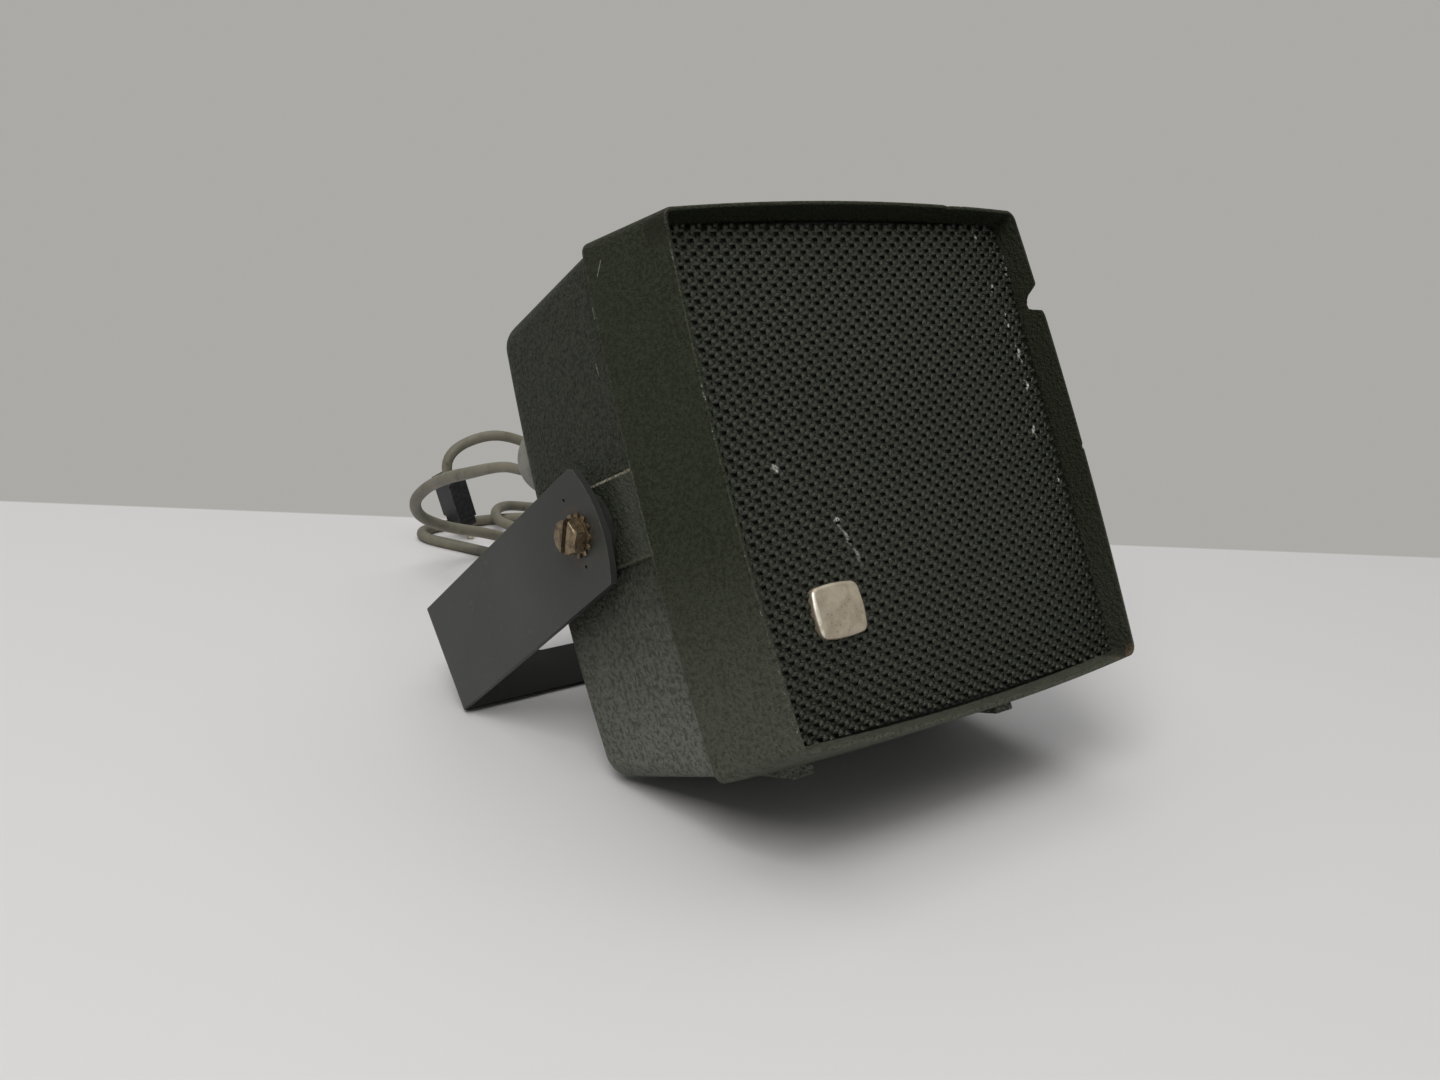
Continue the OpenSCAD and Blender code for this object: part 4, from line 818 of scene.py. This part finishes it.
for name, count, pitch, wide, thick, other in (
        ("warp", WARP_COUNT, WARP_PITCH, WARP_W, WARP_T, WEFT_PITCH),
        ("weft", WEFT_COUNT, WEFT_PITCH, WEFT_W, WEFT_T, WARP_PITCH)):
    upright = name == "warp"
    one = strand(2 * CLOTH_HALF, other, WAVE if upright else -WAVE, wide, thick)
    if not upright:
        one.transform(Matrix.Rotation(math.pi / 2, 4, "Y"))
    middle = (count - 1) / 2 * pitch
    woven = baked(one, [("NODES", {"node_group": weaver, "inputs": {
        "Count": count, "Every": 2, "Material": threads.material,
        "Start": (-middle, CLOTH_MIDDLE, 0) if upright else (0, CLOTH_MIDDLE, -middle),
        "Step": (pitch, 0, 0) if upright else (0, 0, pitch),
        "Turn": (0, 0, math.pi) if upright else (math.pi, 0, 0)}})])
    woven.transform(CASE)
    finish_piece("grille_cloth_" + name, woven, [threads.material],
                              ["grille_cloth"] if upright else [], crease=180)


# Badge: a small pillowed square of cast metal at the lower left of the grille, bare, gone dull
# and yellowish with age, brighter along its upper and left edges; on the left edge the brightness
# is a painted highlight.
BADGE_X, BADGE_UP, BADGE_W, BADGE_H, BADGE_T, BADGE_R = -34.2, -31.8, 15.3, 12.5, 2, 2.2
BADGE_BACK, PILLOW, BADGE_BOW, PIN_OFF, PIN_R, PIN_END = 6.5, 0.9, 0.35, 3.5, 0.7, 9.3
badge_rings, badge_depths = [], []
for i in range(10):
    a = math.pi / 2 * i / 9
    drawn = PILLOW * (1 - math.sin(a))
    badge_rings.append(outline(BADGE_W / 2 - BADGE_BOW - drawn, BADGE_H / 2 - BADGE_BOW - drawn,
                               BADGE_BOW, BADGE_R - 0.5 * drawn, side_steps=16))
    badge_depths.append(BADGE_BACK - BADGE_T + PILLOW * 0.75 * (1 - math.cos(a)) + 0.12)
for share in (0.8, 0.5, 0.2):
    badge_rings.insert(0, [(x * share, z * share) for x, z in badge_rings[-10]])
    badge_depths.insert(0, BADGE_BACK - BADGE_T + 0.12 * share ** 2)
badge_rings.append(badge_rings[-1])
badge_depths.append(BADGE_BACK)
badge_pins = [rod(side * PIN_OFF, 0, PIN_R, BADGE_BACK - 0.3, PIN_END, 16) for side in (-1, 1)]
silver = Finish("dull bare badge metal", IOR=1.8)
at = silver.in_case()
bx, bd, _ = silver.parts(at)
tarnish = silver.noise(at, 0.35, 4, 0.6)
brushed = silver.noise(silver.stretched(at, (0.25, 1, 4)), 1.6, 4, 0.6)
side_dirt = bd.rising(5.0, 5.7)
pits = silver.cells(at, 0.9).rising(0.22, 0.1) * tarnish.rising(0.5, 0.58)
# A painted highlight along the left edge's rounding.
left_edge_highlight = bx.rising(-40.6, -41.1) * bd.rising(5.3, 5.0) * tarnish.rising(0.3, 0.5)
silver.wear(
    Base_Color=silver.coats(
        tarnish.rising(0.35, 0.7), (0.56, 0.495, 0.385), (0.42, 0.36, 0.275),
        (side_dirt * 0.75, (0.16, 0.115, 0.075)),
        (pits * 0.6, (0.13, 0.1, 0.07)),
        (left_edge_highlight * 0.8, (0.95, 0.9, 0.8))),
    Metallic=0.65 - 0.35 * side_dirt, Roughness=0.36 + 0.18 * brushed + 0.2 * side_dirt,
    Normal=silver.bump(brushed - pits * 2, 0.00006, 0.5))
make_piece("badge_plate", *joined(loft(badge_rings, badge_depths), *badge_pins),
           CASE @ Matrix.Translation((BADGE_X, 0, BADGE_UP)), silver, "badge_metal", ["badge"],
           crease=55)


# Bracket: a strip of steel 1.8 mm thick, bent into a wide U and painted dark grey. The paint
# has worn through to pale metal along the edges; round the pivot end the pale edge line is also a
# painted highlight.
paint = Finish("dark grey bracket paint", Specular_IOR_Level=0.42)
at = paint.place()
hub = paint.off_pivot()
cloud = paint.noise(at, 0.03, 4, 0.6)
speck = paint.noise(at, 0.35, 5, 0.68)
paint.wear(
    Base_Color=paint.coats(
        cloud.rising(0.3, 0.7), (0.034, 0.036, 0.034), (0.047, 0.049, 0.0455),
        (speck.rising(0.62, 0.7) * 0.4, (0.1, 0.097, 0.09)),
        (hub.rising(36, 8) * 0.65, (0.02, 0.0215, 0.0175)),
        (hub.rising(8.6, 6.2) * speck.rising(0.42, 0.58) * 0.2, (0.12, 0.066, 0.034))),
    Roughness=0.36 + 0.18 * cloud + 0.1 * speck,
    Normal=paint.bump(paint.noise(at, 0.9), 0.00008, 0.4))
bare_edge_and_highlight = Finish("bare bracket edges and painted highlight", Specular_IOR_Level=0.4)
at = bare_edge_and_highlight.place()
bits = bare_edge_and_highlight.noise(at, 0.8, 4, 0.6)
# Pale metal where the paint has worn through, and more of it near the pivot: there the pale line
# along the arm's rounded end is a painted highlight.
worn_gaps_and_highlight = (bare_edge_and_highlight.noise(at, 0.12, 5, 0.65).rising(0.44, 0.56)
        + bare_edge_and_highlight.off_pivot().rising(30, 22) * 0.8).at_most(1)
bare_edge_and_highlight.wear(Base_Color=bare_edge_and_highlight.blend(worn_gaps_and_highlight * bits.rising(0.35, 0.5), (0.07, 0.069, 0.066),
                                          (0.33, 0.31, 0.27)), Roughness=0.42 + 0.2 * bits)
dressed("bracket", paint, bare_edge_and_highlight, 0.00032, "stirrup")


# Pivot bolts: slotted hexagon heads with a chamfered top, and toothed lock washers under
# them, both bronzed and dark in their corners, with bright tooth tips.
base = next(mount for mount in frame["record"]["mounts"] if mount["name"] == "bracket_base")
ARM = (Matrix.Translation(pivot) @ Matrix.Rotation(math.atan2(base["axis"][2], base["axis"][1]),
                                                   4, "X") @ Matrix.Scale(MM, 4))
HEAD_AF, HEAD_H, BOLT_R, BOLT_LEN, SLOT_W, SLOT_H, HEAD_TURN = 8, 3.4, 2.5, 12, 1.6, 1.6, 46
WASHER_IN, WASHER_T, WASHER_D, TEETH = 66.34, 0.8, 10.6, 12


def bolt_form():
    """A bolt that points down -Z, its head on Z = 0."""
    around = angles(96)
    flat = HEAD_AF / 2
    hexagon = [flat / math.cos((a + math.pi / 6) % (math.pi / 3) - math.pi / 6) for a in around]
    rows = [(BOLT_R, -BOLT_LEN), (BOLT_R, 0), (flat * 0.98, 0),
            (hexagon, [0.25 + (h - flat) * 0.5 for h in hexagon]),
            (hexagon, [HEAD_H - 0.25 - (h - flat) * 0.62 for h in hexagon]),
            ([min(h, flat * 1.02) - 0.15 for h in hexagon], HEAD_H - 0.06), (flat * 0.9, HEAD_H)]
    rows = [[v if isinstance(v, list) else [v] * len(around) for v in row] for row in rows]
    slot = box((-SLOT_W / 2, -HEAD_AF, HEAD_H - SLOT_H), (SLOT_W / 2, HEAD_AF, HEAD_H + 1))
    return cut(skin([[(r * math.cos(a), r * math.sin(a), z) for a, r, z in zip(around, *row)]
                     for row in rows]), slot)


def seated(out, turn, *solids):
    """Solids that look up +Z, set at both ends of the pivots' axis."""
    ends = [Matrix.Rotation(side * math.pi / 2, 4, "Y") @ Matrix.Translation((0, 0, out))
            @ Matrix.Rotation(math.radians(turn), 4, "Z") for side in (-1, 1)]
    return joined(*[([tuple(end @ Vector(p)) for p in points], faces)
                    for end in ends for points, faces in solids])


bronze = Finish("bronzed zinc", IOR=1.6, Metallic=0.75)
at = bronze.place(tuple(pivot))
patina = bronze.noise(at, 0.5, 5, 0.65)
fine = bronze.noise(at, 2.6, 3, 0.6)
bronze.wear(Base_Color=bronze.coats(patina.rising(0.38, 0.64), (0.24, 0.18, 0.108),
                                    (0.085, 0.06, 0.036),
                                    (fine.rising(0.56, 0.7) * 0.4, (0.5, 0.42, 0.3))),
            Roughness=0.34 + 0.25 * patina, Normal=bronze.bump(fine, 0.00005, 0.5))
make_piece("pivot_bolt_heads", *seated(WASHER_IN + WASHER_T, HEAD_TURN, bolt_form()), ARM,
           bronze, "bronzed_zinc", ["pivot_bolts"], crease=28)

RING_OUT, RING_IN, TOOTH_TWIST = 4.2, 2.62, math.radians(30)
ring_solid = skin([[(*xy, z) for xy in circle(0, 0, r, 84)]
                   for r, z in ((RING_IN, 0.1), (RING_OUT, 0.1), (RING_OUT, WASHER_T - 0.1),
                                (RING_IN, WASHER_T - 0.1))], True)
tooth_rings = []
for r, twist, half in ((RING_OUT - 0.25, 0.2, 0.62), (RING_OUT + 0.35, 0.7, 0.6),
                       (WASHER_D / 2, 1, 0.5)):
    a = TOOTH_TWIST * twist
    tooth_rings.append([(r, y * math.cos(a) - z * math.sin(a),
                         WASHER_T / 2 + (y * math.sin(a) + z * math.cos(a)) * 0.8)
                        for y, z in ((-half, -0.24), (half, -0.24), (half, 0.24), (-half, 0.24))])
teeth_solid = form_of(baked(mesh_of(*skin(tooth_rings)), [
    ("NODES", {"node_group": weaver, "inputs": {
        "Count": TEETH, "Start": (0, 0, 0), "Step": (0, 0, 0), "Turn": (0, 0, math.tau / TEETH),
        "Every": TEETH, "Material": bronze.material}})]))
make_piece("lock_washers", *seated(WASHER_IN, 0, ring_solid, teeth_solid), ARM, bronze,
           "bronzed_zinc", ["tooth_washers"], crease=30)


# Strain relief: a stout domed sleeve of pale grey plastic, snapped through the back from
# outside. It is smooth and a little darker towards its foot.
NECK_R, LIP_R, INSIDE_AT, RELIEF_R, TIP_R = 4.5, 6.5, case_depth - 4.5, 10.4, 2.8
DOME_START = 83.5
relief_profile = [(LIP_R, INSIDE_AT), (LIP_R, case_depth - 2.54), (NECK_R, case_depth - 2.54),
                  (NECK_R, case_depth + 0.02), (RELIEF_R - 0.25, case_depth + 0.02),
                  (RELIEF_R, case_depth + 0.3), (RELIEF_R, DOME_START)]
for i in range(1, 15):
    a = math.radians(5 * i)
    relief_profile.append((max(RELIEF_R * math.cos(a) ** 1.25, TIP_R),
                           DOME_START + (RELIEF_TIP - DOME_START) * math.sin(a) ** 1.25))
relief_profile += [(TIP_R, RELIEF_TIP - 0.3), (TIP_R - 0.3, RELIEF_TIP)]
pale = Finish("pale grey relief plastic", Specular_IOR_Level=0.35)
at = pale.in_case()
smear = pale.noise(at, 0.3, 4, 0.6)
pale.wear(Base_Color=pale.coats(smear.rising(0.4, 0.7), (0.235, 0.232, 0.2),
                                (0.175, 0.17, 0.143),
                                (pale.parts(at)[1].rising(84, 78) * 0.5, (0.12, 0.113, 0.093))),
          Roughness=0.45 + 0.2 * smear, Normal=pale.bump(smear, 0.0001, 0.4))
make_piece("relief_sleeve", *turned(RELIEF_X, RELIEF_UP, relief_profile, 64), CASE, pale,
           "relief_grey", ["strain_relief"], crease=45)


# Inside the case and under the cloth: the driver, its leads and the screws keep the forms of
# their nodes and get the finish of each piece.
def give(node, finish):
    materials = bpy.data.objects[node].data.materials
    materials.clear()
    materials.append(finish.material)


def finished(nodes, name, dark, light, roughness, metallic=0.0, grain=1.2, rough_bump=0.00006,
             worn=None):
    """Gives nodes a mottled finish between two colours, with a third in its pits."""
    finish = Finish(name, Metallic=metallic)
    at = finish.place()
    mottle = finish.noise(at, grain * 0.2, 4, 0.6)
    fine = finish.noise(at, grain * 2, 3, 0.6)
    pits = [(fine.rising(0.6, 0.72) * 0.6, worn)] if worn else []
    finish.wear(Base_Color=finish.coats(mottle.rising(0.35, 0.68), dark, light, *pits),
                Roughness=roughness + 0.15 * fine, Normal=finish.bump(fine, rough_bump, 0.5))
    for node in nodes:
        give(node, finish)


HOLE_X, HOLE_UP = 2.755, 2.25
holes = Finish("perforated black card")
at = holes.in_case()
hx, _, hu = holes.parts(at)
row = hu / HOLE_UP
odd = row.maths("FLOORED_MODULO", 2.0).maths("FLOOR")
in_row = row.maths("FRACT") - 0.5
in_line = (hx / HOLE_X + 0.5 * odd).maths("FRACT") - 0.5
hole = ((in_line * HOLE_X) ** 2 + (in_row * HOLE_UP) ** 2).rising(0.75, 0.5)
pulp = holes.noise(at, 1.2, 4, 0.6)
holes.wear(Base_Color=holes.coats(pulp, (0.016, 0.016, 0.015), (0.028, 0.028, 0.026),
                                  (hole, (0.002, 0.002, 0.002))),
           Roughness=0.75 + 0.15 * pulp, Normal=holes.bump(pulp - 3 * hole, 0.0002, 0.6))
give("grille_sheet", holes)

finished(["driver_gasket"], "grey card", (0.24, 0.2, 0.15), (0.34, 0.3, 0.23), 0.75,
         worn=(0.42, 0.37, 0.3))
finished(["driver_basket"], "plated pressed steel", (0.42, 0.4, 0.36), (0.56, 0.54, 0.48), 0.32,
         0.85, worn=(0.3, 0.25, 0.18))
finished(["cone_surround", "spider"], "treated cloth", (0.13, 0.09, 0.05), (0.2, 0.145, 0.085),
         0.8, grain=2.5, rough_bump=0.0002, worn=(0.27, 0.2, 0.12))
finished(["cone"], "grey cone paper", (0.045, 0.043, 0.04), (0.09, 0.086, 0.08), 0.82,
         grain=2, rough_bump=0.00015, worn=(0.16, 0.15, 0.135))
finished(["dust_cap"], "felted cap paper", (0.03, 0.029, 0.027), (0.06, 0.058, 0.054), 0.86,
         grain=3, rough_bump=0.0002)
finished(["voice_coil_former"], "kraft paper tube", (0.33, 0.22, 0.12), (0.44, 0.31, 0.18), 0.6,
         grain=2)
finished(["voice_coil_winding"], "enamelled copper", (0.42, 0.17, 0.07), (0.58, 0.27, 0.12), 0.3,
         0.9, grain=3)
finished(["magnet_ring"], "grey ferrite", (0.07, 0.07, 0.072), (0.13, 0.13, 0.13), 0.55,
         grain=2, rough_bump=0.00012, worn=(0.2, 0.19, 0.18))
finished(["top_plate", "back_plate"], "zinc plated steel", (0.5, 0.48, 0.42), (0.64, 0.62, 0.55),
         0.34, 0.85, worn=(0.4, 0.33, 0.2))
finished(["terminal_strip"], "brown laminated board", (0.15, 0.075, 0.03), (0.24, 0.13, 0.06),
         0.5, grain=2)
finished(["terminal_tags"], "tinned brass", (0.55, 0.5, 0.36), (0.68, 0.62, 0.48), 0.35, 0.85,
         worn=(0.5, 0.34, 0.14))
finished(["pivot_inserts"], "turned brass", (0.6, 0.42, 0.16), (0.72, 0.54, 0.25), 0.3, 0.9,
         worn=(0.4, 0.26, 0.1))
finished(["pigtail_leads"], "braided copper tinsel", (0.4, 0.18, 0.08), (0.6, 0.32, 0.16), 0.45,
         0.7, grain=5, rough_bump=0.0001)
finished(["inner_leads"], "lead sleeve", (0.3, 0.27, 0.2), (0.42, 0.38, 0.29), 0.6, grain=2)
finished(["driver_screws"], "passivated steel", (0.5, 0.44, 0.28), (0.62, 0.57, 0.4), 0.34, 0.85,
         worn=(0.35, 0.26, 0.13))
finished(["case_screws"], "plated screw steel", (0.4, 0.38, 0.33), (0.54, 0.52, 0.45), 0.36,
         0.85, worn=(0.24, 0.16, 0.09))
# The spacer discs are darker than their black plastic: painted shade behind the bracket's arm.
finished(["spacer_discs"], "black disc plastic with painted shade", (0.009, 0.009, 0.0085), (0.018, 0.018, 0.016),
         0.5, grain=2, worn=(0.06, 0.058, 0.05))
finished(["plug_pins"], "dull plated pins", (0.4, 0.36, 0.27), (0.6, 0.56, 0.45), 0.32, 0.9,
         worn=(0.25, 0.17, 0.08))


# Studio: a pale table that runs on under a grey wall's tone, one large soft lamp above the
# camera's left, so that the shadow stays under the case, and an even fill from all round.
WALL_TONE = (0.41, 0.403, 0.382)
floor_mesh = bpy.data.meshes.new("table")
floor_mesh.from_pydata([(x, y, 0) for x, y in ((-30, -30), (30, -30), (30, 30), (-30, 30))], [],
                       [(0, 1, 2, 3)])
table = placed("table", floor_mesh)
EDGE_X, EDGE_Y, EDGE_SLOPE = -0.0686, 0.2478, -0.6126
top = Finish("pale table top", Roughness=0.6, Specular_IOR_Level=0.2,
             Base_Color=(0.72, 0.705, 0.7))
fx, fy, _ = top.parts(top.place(unit=1.0))
past = (fy - EDGE_Y - (fx - EDGE_X) * EDGE_SLOPE).rising(-0.0012, 0.0012)
glow = top.add("ShaderNodeEmission", {}, Color=WALL_TONE, Strength=1.0)
top.join(top.output.inputs[0], top.add("ShaderNodeMixShader", {}, past * top.seen(),
                                       Amount(top, top.shader.outputs[0]), glow))
floor_mesh.materials.append(top.material)

world = bpy.data.worlds.new("studio")
bpy.context.scene.world = world
world.use_nodes = True
sky = Nodes(world.node_tree)
fill = sky.add("ShaderNodeBackground", {}, (0.93, 0.96, 1.0, 1), 0.16)
wall = sky.add("ShaderNodeBackground", {}, WALL_TONE, 1.0)
sky.add("ShaderNodeOutputWorld", {}, sky.add("ShaderNodeMixShader", {}, sky.seen(), fill, wall),
        out=None)

for name, place, aim, size, power, color in (
        ("key", (-0.88, -0.5, 1.25), (0, 0, 0.05), 0.8, 13.5, (1, 0.985, 0.96)),
        ("ceiling", (0.1, 0.4, 2.3), (0.1, 0.4, 0), 3, 30, (1, 1, 1))):
    data = bpy.data.lights.new(name, "AREA")
    data.shape, data.size, data.size_y = "RECTANGLE", size, size
    data.energy, data.color = power, color
    lamp = placed(name, data)
    lamp.location = place
    lamp.rotation_euler = (Vector(aim) - Vector(place)).to_track_quat("-Z", "Y").to_euler()
